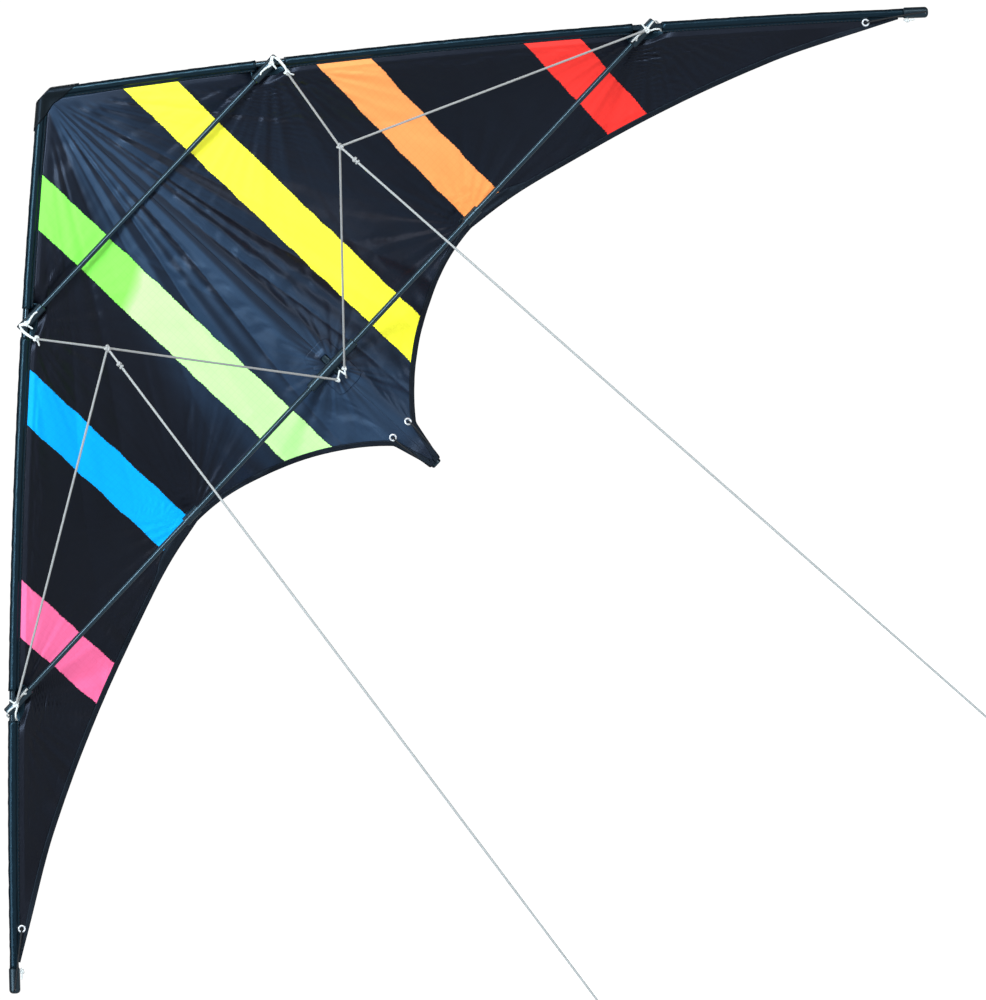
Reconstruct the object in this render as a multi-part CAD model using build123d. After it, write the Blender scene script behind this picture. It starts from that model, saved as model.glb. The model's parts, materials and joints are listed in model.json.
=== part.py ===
from build123d import *
import os
from math import atan2, cos, degrees, radians, sin, sqrt, tan

# Dual-line delta kite, in millimetres.
# +X is the right wing, +Z runs up the spine to the nose, and the bridle is in front, on the -Y side.
# Every shape is drawn with the centre of the tee at z = 0 and lifted by TEE_HEIGHT when it is written,
# which puts the origin in the flat end of the tail cap, on the spine's axis.

# ---------- driving dimensions ----------
HALF_SPAN = 600.0  # nose axis to the end of a tip cap
TEE_HEIGHT = 129.0  # tail cap's end to the lower spreader's axis
NOSE_AXIS_Z = 350.0  # where the two leading-edge axes would meet
TIP_AXIS_Z = -177.0  # leading-edge axis at the wing tip
EDGE_RADIUS = 7133.0  # gentle bow of the leading edge
UPPER_SPREADER_Z = 222.0
STANDOFF_X = 182.0
STANDOFF_DEPTH = 90.0  # how far the standoffs hold the sail behind the spreader
TOW_X = 128.6
TOW_Y = -205.0
TOW_Z = {"right": 125.5, "left": 152.0}  # the left tow knot is tied higher on its outhaul

# ---------- rods ----------
ROD_R = 2.5
ROD_BORE_R = 1.5
FERRULE_R = 1.45
FERRULE_LENGTH = 60.0
SOCKET_R = 2.55  # hole in a soft fitting that holds a rod
ROD_JOINT_X = 300.0  # where the two leading-edge rods meet
ROD_START_X = 10.0
ROD_END_X = 592.0
SPINE_Y = 9.5  # the spine lies behind the sail
SPINE_TOP = 332.0
SPINE_BOTTOM = -123.0

# ---------- soft fittings ----------
FITTING_R = 4.5
CONNECTOR_INNER = 22.0  # connector length from the leading-edge axis towards the spine
CONNECTOR_OUTER = 7.0
SPREADER_GAP = 9.0  # leading-edge axis to the spreader's end
TEE_HALF = 28.5
TEE_SEPTUM = 1.5
TEE_BARREL_HALF = 12.0
TEE_WEB = 7.0
CAP_R = 4.9
TIP_CAP_LENGTH = 27.0
TIP_CAP_ROUND = 3.2  # radius of its outer end
TAIL_CAP_LENGTH = 18.0
CORD_HOLE_R = 1.1

# ---------- sail ----------
FABRIC = 0.5
SPINE_SEAM_Y = 5.4  # middle of the sail where it crosses the spine
FLAT_HALF = 6.0  # half width of the flat strip over the spine
SLEEVE_DEPTH = 10.5  # leading-edge axis to the sleeve's inner edge
HEM = 5.0
HEM_THICK = 0.9
TAIL_EXTRA = 9.0  # how far the tail tongue reaches below the inner curve
INNER_CURVE = 90.0
OUTER_SLOPE = 76.0
OUTER_CURVE = 85.0
TRAIL_Z = -10.0  # trailing edge at the standoffs
SEAM_GAP = 0.3
STRIPE_STARTS = (52.0, 185.0, 326.0)
STRIPE_WIDTH = 37.5
PANEL_END_X = 531.0
SLEEVE_END_X = 568.0
SECTION_STEP = 24.0  # usual gap between two sections of a lofted panel
SPINE_SECTIONS = (0.0, 6.0, 14.0, 26.0, 39.0, 52.0)  # closer sections beside the spine
PATCH_LIFT = -1.7  # patches lie this far in front of the sail
PATCH_THICK = 0.4
OPENING_HALF = 6.0  # slot in the sail for the tee's web
OPENING_TOP = 15.0
OPENING_BOTTOM = -22.0
NOTCH_R = 17.0  # cut-out in the sail at a connector
NOTCH_SHIFT = 9.0  # its centre, inward of the leading edge
SLEEVE_GAP_NOSE = 21.0  # open length of sleeve on the nose side of a connector
SLEEVE_GAP_TIP = 14.0
POCKET_R = 3.5
POCKET_HALF = 5.0  # half width of the pocket's seam

# ---------- nose patch ----------
NOSE_HALF = 9.0  # half of the flat chamfer
NOSE_TOP = 349.0
NOSE_LENGTH = 35.0
NOSE_WALL = 0.8
NOSE_DEPTH = 14.0
NOSE_FRONT = -4.2
NOSE_BACK = 13.6

# ---------- cords ----------
CORD_R = 0.9
TENSION_CORD_R = 0.8
TAIL_HOLE_Z = 3.0  # height of the cross hole above the tail cap's end
LINE_R = 1.0
KNOT_R = 2.6
TOW_KNOT_R = 3.2
UPPER_KNOT_SHIFT = (3.0, -16.0)  # x and z from the upper connector to the knot its cord hangs from
LOWER_KNOT_SHIFT = (-8.0, 2.5)
KNOT_FORWARD = 2.4  # from the front of a connector to the knot's centre
KNOT_WRAP_INSET = 13.5  # from the leading-edge axis to the cord wound round a connector
CENTRE_KNOT = (3.2, -17.0)  # y and z of the knot below the tee
PIGTAIL_LENGTH = 17.0
LINE_LENGTH = 716.0
LINE_LEAN = 12.0  # degrees forward of straight down
LINE_OUT = {"right": 0.8, "left": 10.3}  # degrees outward of straight down
EYELET_R = 3.5
EYELET_HOLE_R = 1.9
TAIL_EYELET = (9.6, -83.5)
TIP_EYELET_X = 556.0
TIP_EYELET_IN = 7.3  # eyelet centre inward of the leading-edge axis


# ---------- curves of the kite ----------
def arc_centre():
    """Centre of the leading-edge arc, from its two ends and its radius."""
    dx = HALF_SPAN
    dz = TIP_AXIS_Z - NOSE_AXIS_Z
    chord = sqrt(dx**2 + dz**2)
    drop = sqrt(EDGE_RADIUS**2 - chord**2 / 4)
    return dx / 2 + dz / chord * drop, (NOSE_AXIS_Z + TIP_AXIS_Z) / 2 - dx / chord * drop


ARC_X, ARC_Z = arc_centre()


def edge_z(x, inward=0.0):
    """Height of the leading-edge arc at x, moved inward from the rod's axis."""
    return ARC_Z + sqrt((EDGE_RADIUS - inward) ** 2 - (abs(x) - ARC_X) ** 2)


def edge_x(z):
    """Where the leading-edge axis is at height z."""
    return ARC_X + sqrt(EDGE_RADIUS**2 - (z - ARC_Z) ** 2)


def edge_angle(x):
    """Angle of the leading-edge point at x, seen from the arc's centre, in degrees."""
    return degrees(atan2(edge_z(x) - ARC_Z, x - ARC_X))


def trail_z(x):
    """Height of the sail's trailing edge at x."""
    if x <= STANDOFF_X:
        s = 1 - x / STANDOFF_X
        return TRAIL_Z - INNER_CURVE * s**2 - TAIL_EXTRA * s**12
    s = (x - STANDOFF_X) / (HALF_SPAN - STANDOFF_X)
    return TRAIL_Z - OUTER_SLOPE * s - OUTER_CURVE * s**2


def trail_depth(x):
    """How far the trailing edge is held or blown back at x."""
    if x <= FLAT_HALF:
        return 0.0
    if x <= STANDOFF_X:
        s = (x - FLAT_HALF) / (STANDOFF_X - FLAT_HALF)
        return STANDOFF_DEPTH * sin(radians(90 * s)) ** 1.2
    s = min((x - STANDOFF_X) / (PANEL_END_X - STANDOFF_X), 1.0)
    return STANDOFF_DEPTH * (1 - s) * (1 + 0.35 * s)


def sail_y(x, z):
    """Depth of the middle of the sail at x and z: flat at the leading edge, full at the trailing edge."""
    x = abs(x)
    top = edge_z(x, SLEEVE_DEPTH)
    t = (top - z) / max(top - trail_z(x), 1.0)
    t = min(max(t, 0.0), 1.0)
    seam = SPINE_SEAM_Y * (1 - (1 - t) ** 8) * max(1 - x / STANDOFF_X, 0.0)
    return seam + trail_depth(x) * (1.5 * t - 0.5 * t**2)


# ---------- shared shapes ----------
def edge_plane(x):
    """Plane across the leading edge at x: local x points outward, local y points along +Y."""
    a = radians(edge_angle(x))
    outward = Vector(cos(a), 0, sin(a))
    along = Vector(sin(a), 0, -cos(a))
    return Plane(origin=(x, 0, edge_z(x)), x_dir=outward, z_dir=along)


def along_edge(profile, start_x, end_x):
    """Sweep a sketch drawn across the leading edge from start_x out to end_x."""
    face = edge_plane(start_x) * profile
    axis = Axis((ARC_X, 0, ARC_Z), (0, 1, 0))
    return revolve(face, axis=axis, revolution_arc=edge_angle(start_x) - edge_angle(end_x))


def rod_between(start, end, outer, inner=0.0):
    """A round rod or tube from start to end."""
    start, end = Vector(*start), Vector(*end)
    plane = Plane(origin=start, z_dir=end - start)
    profile = Circle(outer)
    if inner:
        profile -= Circle(inner)
    return extrude(plane * profile, amount=(end - start).length)


def ball(centre, radius):
    return Pos(*centre) * Sphere(radius)


def both_sides(shape):
    """The right-hand shape and its mirror image."""
    return {"right": shape, "left": mirror(shape, about=Plane.YZ)}


def stations(start, end):
    """Section positions from start to end, closer beside the spine."""
    if start == 0:
        return list(SPINE_SECTIONS)
    count = max(1, round((end - start) / SECTION_STEP + 0.5))
    return [start + (end - start) * i / count for i in range(count + 1)]


def fabric_section(x, top, bottom, lift, thick, spans):
    """Closed outline of a fabric strip in the plane at x, following the sail's depth."""
    heights = [bottom + (top - bottom) * i / spans for i in range(spans + 1)]
    front = [(x, sail_y(x, z) + lift - thick / 2, z) for z in heights]
    back = [(x, y + thick, z) for x, y, z in front]
    curve = Spline if spans > 1 else Line
    edges = [curve(*front), Line(front[-1], back[-1]), curve(*back[::-1]), Line(back[0], front[0])]
    return Wire(edges)


def fabric_piece(xs, top, bottom, lift=0.0, thick=FABRIC, spans=4):
    """Fabric lofted through sections at xs, between the heights top(x) and bottom(x)."""
    sections = [fabric_section(x, top(x), bottom(x), lift, thick, spans) for x in xs]
    return Solid.make_loft(sections, ruled=True)


def sail_plane(x, z, lift=0.0):
    """Plane on the sail at x and z, with its normal pointing forward."""
    step = 1.0
    slope_x = (sail_y(x + step, z) - sail_y(x - step, z)) / (2 * step)
    slope_z = (sail_y(x, z + step) - sail_y(x, z - step)) / (2 * step)
    normal = Vector(slope_x, -1, slope_z).normalized()
    point = Vector(x, sail_y(x, z), z) + normal * lift
    return Plane(origin=point, x_dir=(1, slope_x, 0), z_dir=normal)


# ---------- frame rods ----------
def rods():
    tube = Circle(ROD_R) - Circle(ROD_BORE_R)
    upper = along_edge(tube, ROD_START_X, ROD_JOINT_X)
    lower = along_edge(tube, ROD_JOINT_X + 0.01, ROD_END_X)
    half = FERRULE_LENGTH / 2 * cos(radians(90 - edge_angle(ROD_JOINT_X)))
    ferrule = along_edge(Circle(FERRULE_R), ROD_JOINT_X - half, ROD_JOINT_X + half)
    parts = {}
    for side, shape in both_sides(upper).items():
        parts[f"leading_edge_rod_upper_{side}"] = shape
    for side, shape in both_sides(lower).items():
        parts[f"leading_edge_rod_lower_{side}"] = shape
    parts["leading_edge_ferrules"] = list(both_sides(ferrule).values())
    parts["spine_rod"] = rod_between((0, SPINE_Y, SPINE_BOTTOM), (0, SPINE_Y, SPINE_TOP), ROD_R, ROD_BORE_R)
    reach = edge_x(UPPER_SPREADER_Z) - SPREADER_GAP
    parts["upper_spreader"] = rod_between(
        (-reach, 0, UPPER_SPREADER_Z), (reach, 0, UPPER_SPREADER_Z), ROD_R, ROD_BORE_R
    )
    lower_half = rod_between((TEE_SEPTUM + 0.2, 0, 0), (edge_x(0) - SPREADER_GAP, 0, 0), ROD_R, ROD_BORE_R)
    for side, shape in both_sides(lower_half).items():
        parts[f"lower_spreader_{side}"] = shape
    return parts


# ---------- soft fittings ----------
def centre_tee():
    """Moulded tee: a cross tube for the lower spreaders and a barrel round the spine."""
    tube = rod_between((-TEE_HALF, 0, 0), (TEE_HALF, 0, 0), FITTING_R)
    barrel = rod_between((0, SPINE_Y, -TEE_BARREL_HALF), (0, SPINE_Y, TEE_BARREL_HALF), CAP_R)
    web = Pos(0, SPINE_Y / 2, 0) * Box(TEE_WEB, SPINE_Y, 2 * FITTING_R)
    tee = tube + barrel + web
    tee = chamfer(tee.edges().filter_by(GeomType.CIRCLE).group_by(Axis.X)[-1], 0.6)
    for way in (-1, 1):
        tee -= rod_between((way * TEE_SEPTUM, 0, 0), (way * (TEE_HALF + 1), 0, 0), SOCKET_R)
    return tee - rod_between((0, SPINE_Y, -20), (0, SPINE_Y, 20), SOCKET_R)


def connector(z):
    """Soft tube on a spreader's end, pierced by the leading-edge rod."""
    x = edge_x(z)
    body = rod_between((x - CONNECTOR_INNER, 0, z), (x + CONNECTOR_OUTER, 0, z), FITTING_R)
    body = chamfer(body.edges().filter_by(GeomType.CIRCLE), 0.8)
    body -= rod_between((x - CONNECTOR_INNER - 1, 0, z), (x - SPREADER_GAP + 0.2, 0, z), SOCKET_R)
    return body - along_edge(Circle(SOCKET_R), x - 12, x + 12)


def tip_cap():
    """Cap on the outer end of the leading edge, with a hole for the tension cord."""
    start = HALF_SPAN - TIP_CAP_LENGTH * cos(radians(90 - edge_angle(HALF_SPAN)))
    body = along_edge(Circle(CAP_R), start, HALF_SPAN - 3.2)
    outer_rim = body.edges().filter_by(GeomType.CIRCLE).sort_by(Axis.X)[-1]
    body = fillet(outer_rim, TIP_CAP_ROUND)
    body = chamfer(body.edges().filter_by(GeomType.CIRCLE).sort_by(Axis.X)[0], 0.8)
    body -= along_edge(Circle(SOCKET_R), start - 2, ROD_END_X + 0.2)
    plane = edge_plane(HALF_SPAN - 5.6)
    hole = Plane(origin=plane.origin, z_dir=(0, 1, 0)) * Cylinder(CORD_HOLE_R, 3 * CAP_R)
    return body - hole


def tail_cap():
    """Cap on the spine's lower end, flat at the bottom, with a cross hole for the tension cords."""
    body = rod_between((0, SPINE_Y, -TEE_HEIGHT), (0, SPINE_Y, TAIL_CAP_LENGTH - TEE_HEIGHT), CAP_R)
    body = chamfer(body.edges().filter_by(GeomType.CIRCLE), 0.8)
    body -= rod_between((0, SPINE_Y, SPINE_BOTTOM - 0.2), (0, SPINE_Y, 0), SOCKET_R)
    hole_z = -TEE_HEIGHT + TAIL_HOLE_Z
    return body - rod_between((-CAP_R - 1, SPINE_Y, hole_z), (CAP_R + 1, SPINE_Y, hole_z), CORD_HOLE_R)


# ---------- sail ----------
def connector_notches():
    """Round cut-outs through the fabric where the connectors grip the leading edge."""
    places = [(edge_x(z), z) for z in (UPPER_SPREADER_Z, 0.0)]
    return [Pos(x - NOTCH_SHIFT, 0, z) * Rot(90, 0, 0) * Cylinder(NOTCH_R, 40) for x, z in places]


def tee_opening():
    height = OPENING_TOP - OPENING_BOTTOM
    return Pos(0, SPINE_Y, (OPENING_TOP + OPENING_BOTTOM) / 2) * Box(2 * OPENING_HALF, 30, height)


def eyelet_places():
    """Planes of the tail eyelet and the tip eyelet on the right wing."""
    tail = sail_plane(*TAIL_EYELET)
    tip = edge_plane(TIP_EYELET_X)
    centre = tip.origin - tip.x_dir * TIP_EYELET_IN
    return [tail, Plane(origin=centre, x_dir=tip.x_dir, z_dir=(0, -1, 0))]


def eyelet_holes():
    return [place * Cylinder(EYELET_HOLE_R + 0.75, 12) for place in eyelet_places()]


def panel_bounds():
    """Where one panel ends and the next begins, from the spine to the tip."""
    bounds = [0.0]
    for start in STRIPE_STARTS:
        bounds += [start, start + STRIPE_WIDTH]
    return bounds + [PANEL_END_X]


def sail_panels():
    """Seven panels a side: black panels with three bright stripes between them."""
    cuts = connector_notches() + [tee_opening()] + eyelet_holes()
    bounds = panel_bounds()
    names = [
        ("inner_panel_right", "inner_panel_left"),
        ("stripe_yellow", "stripe_green"),
        ("second_panel_right", "second_panel_left"),
        ("stripe_orange", "stripe_blue"),
        ("third_panel_right", "third_panel_left"),
        ("stripe_red", "stripe_pink"),
        ("tip_panel_right", "tip_panel_left"),
    ]
    parts = {}
    for (right, left), start, end in zip(names, bounds, bounds[1:]):
        panel = fabric_piece(
            stations(start, end),
            lambda x: edge_z(x, SLEEVE_DEPTH + SEAM_GAP),
            lambda x: trail_z(x) + HEM + SEAM_GAP,
        )
        for cut in cuts:
            panel -= cut
        parts[right] = panel
        parts[left] = mirror(panel, about=Plane.YZ)
    return parts


def sleeve_gaps():
    """Where the sleeve is open round each connector: start and end of each gap, as x positions."""
    gaps = []
    for z in (UPPER_SPREADER_Z, 0.0):
        x = edge_x(z)
        lean = sin(radians(edge_angle(x)))
        gaps.append((x - SLEEVE_GAP_NOSE * lean, x + SLEEVE_GAP_TIP * lean))
    return gaps


def sleeves():
    """Fabric folded round the leading-edge rod in three lengths, with a flat seam towards the sail."""
    ring = Circle(3.6) - Circle(3.0)
    seam = Pos(-(3.3 + SLEEVE_DEPTH) / 2, 0) * Rectangle(SLEEVE_DEPTH - 3.3, 2 * FABRIC)
    starts = [NOSE_END_X + 0.6] + [end for start, end in sleeve_gaps()]
    ends = [start for start, end in sleeve_gaps()] + [SLEEVE_END_X]
    lengths = [along_edge(ring + seam, start, end) for start, end in zip(starts, ends)]
    lengths[-1] -= eyelet_holes()[1]
    parts = {}
    for side in ("right", "left"):
        parts[f"leading_edge_sleeve_{side}"] = [both_sides(length)[side] for length in lengths]
    return parts


def hems():
    """Folded strip along the trailing edge."""
    bounds = panel_bounds()
    xs = [0.0]
    for start, end in zip(bounds, bounds[1:]):
        xs += stations(start, end)[1:]
    body = fabric_piece(xs, lambda x: trail_z(x) + HEM, trail_z, thick=HEM_THICK, spans=1)
    return {f"trailing_hem_{side}": shape for side, shape in both_sides(body).items()}


def nose_corner():
    """Outer and inner corner where the nose patch ends on the right leading edge."""
    a = radians(edge_angle(NOSE_HALF))
    outer = Vector(NOSE_HALF + NOSE_LENGTH * sin(a), NOSE_TOP - NOSE_LENGTH * cos(a))
    return outer, outer - Vector(NOSE_DEPTH * cos(a), NOSE_DEPTH * sin(a))


NOSE_END_X = nose_corner()[0].X - 3.4


def nose_patch():
    """Reinforced pocket over the nose, open at the bottom for the rods and the sail."""
    outer, inner = nose_corner()
    right = [(NOSE_HALF, NOSE_TOP), (outer.X, outer.Y), (inner.X, inner.Y), (NOSE_HALF, inner.Y - 8)]
    left = [(-x, z) for x, z in right[::-1]]
    outline = Polyline(*right, *left, close=True)
    front = Plane(origin=(0, NOSE_FRONT, 0), x_dir=(1, 0, 0), z_dir=(0, -1, 0))
    depth = NOSE_BACK - NOSE_FRONT
    body = extrude(front * make_face(outline), amount=-depth)
    wall_z = NOSE_WALL / sin(radians(edge_angle(NOSE_HALF)))
    reach = 60.0
    slope = (NOSE_TOP - outer.Y) / (outer.X - NOSE_HALF)
    void_right = [(NOSE_HALF - 0.4, NOSE_TOP - NOSE_WALL), (reach, NOSE_TOP - wall_z - slope * (reach - NOSE_HALF))]
    void_right.append((reach, 200.0))
    void_left = [(-x, z) for x, z in void_right[::-1]]
    inside = Plane(origin=(0, NOSE_FRONT + NOSE_WALL, 0), x_dir=(1, 0, 0), z_dir=(0, -1, 0))
    void = extrude(inside * make_face(Polyline(*void_right, *void_left, close=True)), amount=2 * NOSE_WALL - depth)
    return body - void


def spine_pocket():
    """Fabric tube behind the sail that holds the spine, open where the tee grips it."""
    inside = Circle(POCKET_R - FABRIC)
    seam = Pos(0, 0.2 - POCKET_R) * Rectangle(2 * POCKET_HALF, 0.4)
    profile = Pos(0, SPINE_Y) * (Circle(POCKET_R) + seam - inside)
    lower = Pos(0, 0, trail_z(0) + 2) * extrude(profile, amount=OPENING_BOTTOM - trail_z(0) - 2)
    top = nose_corner()[1].Y - 9
    upper = Pos(0, 0, OPENING_TOP) * extrude(profile, amount=top - OPENING_TOP)
    return [lower, upper]


def centre_patch():
    """Reinforcement in front of the sail, round the opening for the tee and its cross tube."""
    xs = [0.0, FLAT_HALF, 14.0, 24.0]
    right = fabric_piece(xs, lambda x: 32.0, lambda x: -36.0, PATCH_LIFT, PATCH_THICK)
    patch = right + mirror(right, about=Plane.YZ)
    return patch - tee_opening() - Box(26, 30, 12)


def standoff_patches():
    """Half-round reinforcement above the trailing edge at each standoff."""
    radius = 15.0
    xs = [STANDOFF_X + radius * cos(radians(180 - 22.5 * i)) * 0.98 for i in range(9)]
    patch = fabric_piece(
        xs,
        lambda x: trail_z(x) + HEM + SEAM_GAP + sqrt(radius**2 - (x - STANDOFF_X) ** 2),
        lambda x: trail_z(x) + HEM + SEAM_GAP,
        PATCH_LIFT,
        PATCH_THICK,
        spans=2,
    )
    return list(both_sides(patch).values())


# ---------- standoffs ----------
def standoffs():
    """Holder on the spreader, slender rod and end cap, pointing straight back at the sail."""
    reach = sail_y(STANDOFF_X, 0.0) - 3.2
    holder = rod_between((STANDOFF_X - 4, 0, 0), (STANDOFF_X + 4, 0, 0), 4.2)
    holder += rod_between((STANDOFF_X, 0, 0), (STANDOFF_X, 14, 0), 3.0)
    holder -= rod_between((STANDOFF_X - 5, 0, 0), (STANDOFF_X + 5, 0, 0), ROD_R + 0.06)
    holder -= rod_between((STANDOFF_X, 4.5, 0), (STANDOFF_X, 15, 0), 1.55)
    stick = rod_between((STANDOFF_X, 4.7, 0), (STANDOFF_X, reach - 2, 0), 1.5)
    cap = rod_between((STANDOFF_X, reach - 12, 0), (STANDOFF_X, reach, 0), 2.8)
    cap = chamfer(cap.edges().filter_by(GeomType.CIRCLE), 0.6)
    cap -= rod_between((STANDOFF_X, reach - 13, 0), (STANDOFF_X, reach - 1.8, 0), 1.55)
    ring = Circle(4.4) - Circle(ROD_R + 0.01)
    stops = []
    for x in (STANDOFF_X - 4.3, STANDOFF_X + 8.3):
        plane = Plane(origin=(x, 0, 0), x_dir=(0, 1, 0), z_dir=(-1, 0, 0))
        stop = extrude(plane * ring, amount=4)
        stops += both_sides(stop).values()
    parts = {"spreader_stops": stops}
    for name, shape in (("holder", holder), ("rod", stick), ("end_cap", cap)):
        for side, solid in both_sides(shape).items():
            parts[f"standoff_{name}_{side}"] = solid
    return parts


# ---------- eyelets and tension cords ----------
def eyelet():
    """Flanged ring that clamps the fabric, drawn in the plane of the fabric."""
    profile = Polyline(
        (EYELET_HOLE_R, -1.3),
        (EYELET_R, -1.3),
        (EYELET_R, -0.65),
        (EYELET_HOLE_R + 0.6, -0.65),
        (EYELET_HOLE_R + 0.6, 0.65),
        (EYELET_R, 0.65),
        (EYELET_R, 1.3),
        (EYELET_HOLE_R, 1.3),
        close=True,
    )
    return revolve(Plane.XZ * make_face(profile), axis=Axis.Z)


def eyelets():
    rings = [place * eyelet() for place in eyelet_places()]
    return [shape for ring in rings for shape in both_sides(ring).values()]


def cord_path(points):
    """A cord through the points, rounded at the corners."""
    cord = rod_between(points[0], points[1], TENSION_CORD_R)
    for start, end in zip(points[1:], points[2:]):
        cord += ball(start, TENSION_CORD_R)
        cord += rod_between(start, end, TENSION_CORD_R)
    return cord


def tension_cords():
    """One cord through the tail cap to both tail eyelets, and one from each tip eyelet to its cap."""
    tail, tip = eyelet_places()
    front = tail.origin + tail.z_dir * 3.8
    back = tail.origin - tail.z_dir * 2.8
    hole = Vector(CAP_R + 2.0, SPINE_Y, -TEE_HEIGHT + TAIL_HOLE_Z)
    right = cord_path([front, back, hole, (0, SPINE_Y, hole.Z)]) + ball(front, EYELET_HOLE_R + 0.5)
    tail_cord = right + mirror(right, about=Plane.YZ)
    ahead = Vector(0, -CAP_R - 1.4, 0)
    cap = edge_plane(HALF_SPAN - 5.6).origin
    behind = tip.origin + Vector(0, 3.0, 0)
    tip_cord = cord_path([behind, tip.origin + ahead, cap + ahead, cap]) + ball(behind, EYELET_HOLE_R + 0.5)
    return [tail_cord, *both_sides(tip_cord).values()]


# ---------- bridle and lines ----------
def anchors():
    """Knot centres on the right wing: at the upper connector, at the lower connector and below the tee."""
    y = -FITTING_R - KNOT_FORWARD
    upper = Vector(edge_x(UPPER_SPREADER_Z) + UPPER_KNOT_SHIFT[0], y, UPPER_SPREADER_Z + UPPER_KNOT_SHIFT[1])
    lower = Vector(edge_x(0.0) + LOWER_KNOT_SHIFT[0], y, LOWER_KNOT_SHIFT[1])
    inner = Vector(0, *CENTRE_KNOT)
    return upper, lower, inner


def anchor_knots():
    """Cord wrapped round each connector and round the spine below the tee, with a knot in front."""
    upper, lower, inner = anchors()
    knots = []
    for knot, z in ((upper, UPPER_SPREADER_Z), (lower, 0.0)):
        wrap_x = edge_x(z) - KNOT_WRAP_INSET
        wrap = Pos(wrap_x, 0, z) * Rot(0, 90, 0) * Torus(FITTING_R + CORD_R + 0.1, CORD_R)
        bar = rod_between((wrap_x, -FITTING_R - 1.1, z), knot, CORD_R)
        shape = wrap + bar + ball(knot, KNOT_R - 0.4)
        knots += both_sides(shape).values()
    wrap = Pos(0, SPINE_Y, inner.Z) * Torus(ROD_R + CORD_R + 0.1, CORD_R)
    knots.append(wrap + ball(inner, KNOT_R))
    return knots


def tow_point(side):
    sign = 1 if side == "right" else -1
    return Vector(sign * TOW_X, TOW_Y, TOW_Z[side])


def leg(start, end):
    """A straight cord from near the knot at start to near the tow knot at end."""
    way = (end - start).normalized()
    return rod_between(start + way * (KNOT_R + 0.2), end - way * (TOW_KNOT_R + 1.0), CORD_R)


def bridle():
    """Outhaul and inhaul cords that meet at the tow point on each side."""
    parts = {}
    for side, sign in (("right", 1), ("left", -1)):
        tow = tow_point(side)
        upper, lower, inner = (Vector(sign * place.X, place.Y, place.Z) for place in anchors())
        parts[f"outhaul_{side}"] = [leg(upper, tow), leg(lower, tow)]
        parts[f"inhaul_{side}"] = leg(inner + Vector(sign * 2.4, -1.2, 0), tow)
        parts[f"tow_knot_{side}"] = ball(tow, TOW_KNOT_R)
    return parts


def line_direction(side):
    sign = 1 if side == "right" else -1
    return Vector(sign * tan(radians(LINE_OUT[side])), -tan(radians(LINE_LEAN)), -1).normalized()


def flying_lines():
    """Pigtail with its end knot, and the flying line looped on below it."""
    parts = {}
    for side in ("right", "left"):
        tow, way = tow_point(side), line_direction(side)
        end = tow + way * PIGTAIL_LENGTH
        pigtail = rod_between(tow + way * (TOW_KNOT_R + 0.3), end, CORD_R) + ball(end, KNOT_R - 0.4)
        parts[f"pigtail_{side}"] = pigtail
        start = end + way * (KNOT_R - 0.1)
        parts[f"flying_line_{side}"] = rod_between(start, start + way * LINE_LENGTH, LINE_R)
    return parts


def kite():
    parts = {**rods(), "centre_tee": centre_tee()}
    for name, z in (("upper_connector", UPPER_SPREADER_Z), ("lower_connector", 0.0)):
        for side, shape in both_sides(connector(z)).items():
            parts[f"{name}_{side}"] = shape
    for side, shape in both_sides(tip_cap()).items():
        parts[f"tip_cap_{side}"] = shape
    parts["tail_cap"] = tail_cap()
    parts.update(sail_panels())
    parts.update(sleeves())
    parts.update(hems())
    parts["nose_patch"] = nose_patch()
    parts["spine_pocket"] = spine_pocket()
    parts["centre_patch"] = centre_patch()
    parts["standoff_patches"] = standoff_patches()
    parts.update(standoffs())
    parts["eyelets"] = eyelets()
    parts["tension_cords"] = tension_cords()
    parts["bridle_anchor_knots"] = anchor_knots()
    parts.update(bridle())
    parts.update(flying_lines())
    return parts


def write(parts):
    os.makedirs("parts", exist_ok=True)
    for name, shape in parts.items():
        solids = shape if isinstance(shape, list) else [shape]
        lifted = [Pos(0, -SPINE_Y, TEE_HEIGHT) * solid for solid in solids]
        export_step(Compound(children=lifted) if len(lifted) > 1 else lifted[0], f"parts/{name}.step")


write(kite())
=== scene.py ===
"""Dual-line delta kite: fabric, cords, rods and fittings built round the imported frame."""
import json
import random
from math import asin, atan2, ceil, cos, exp, hypot, pi, radians, sin, sqrt

import bmesh
import bpy
import numpy as np
from mathutils import Matrix, Vector

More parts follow.
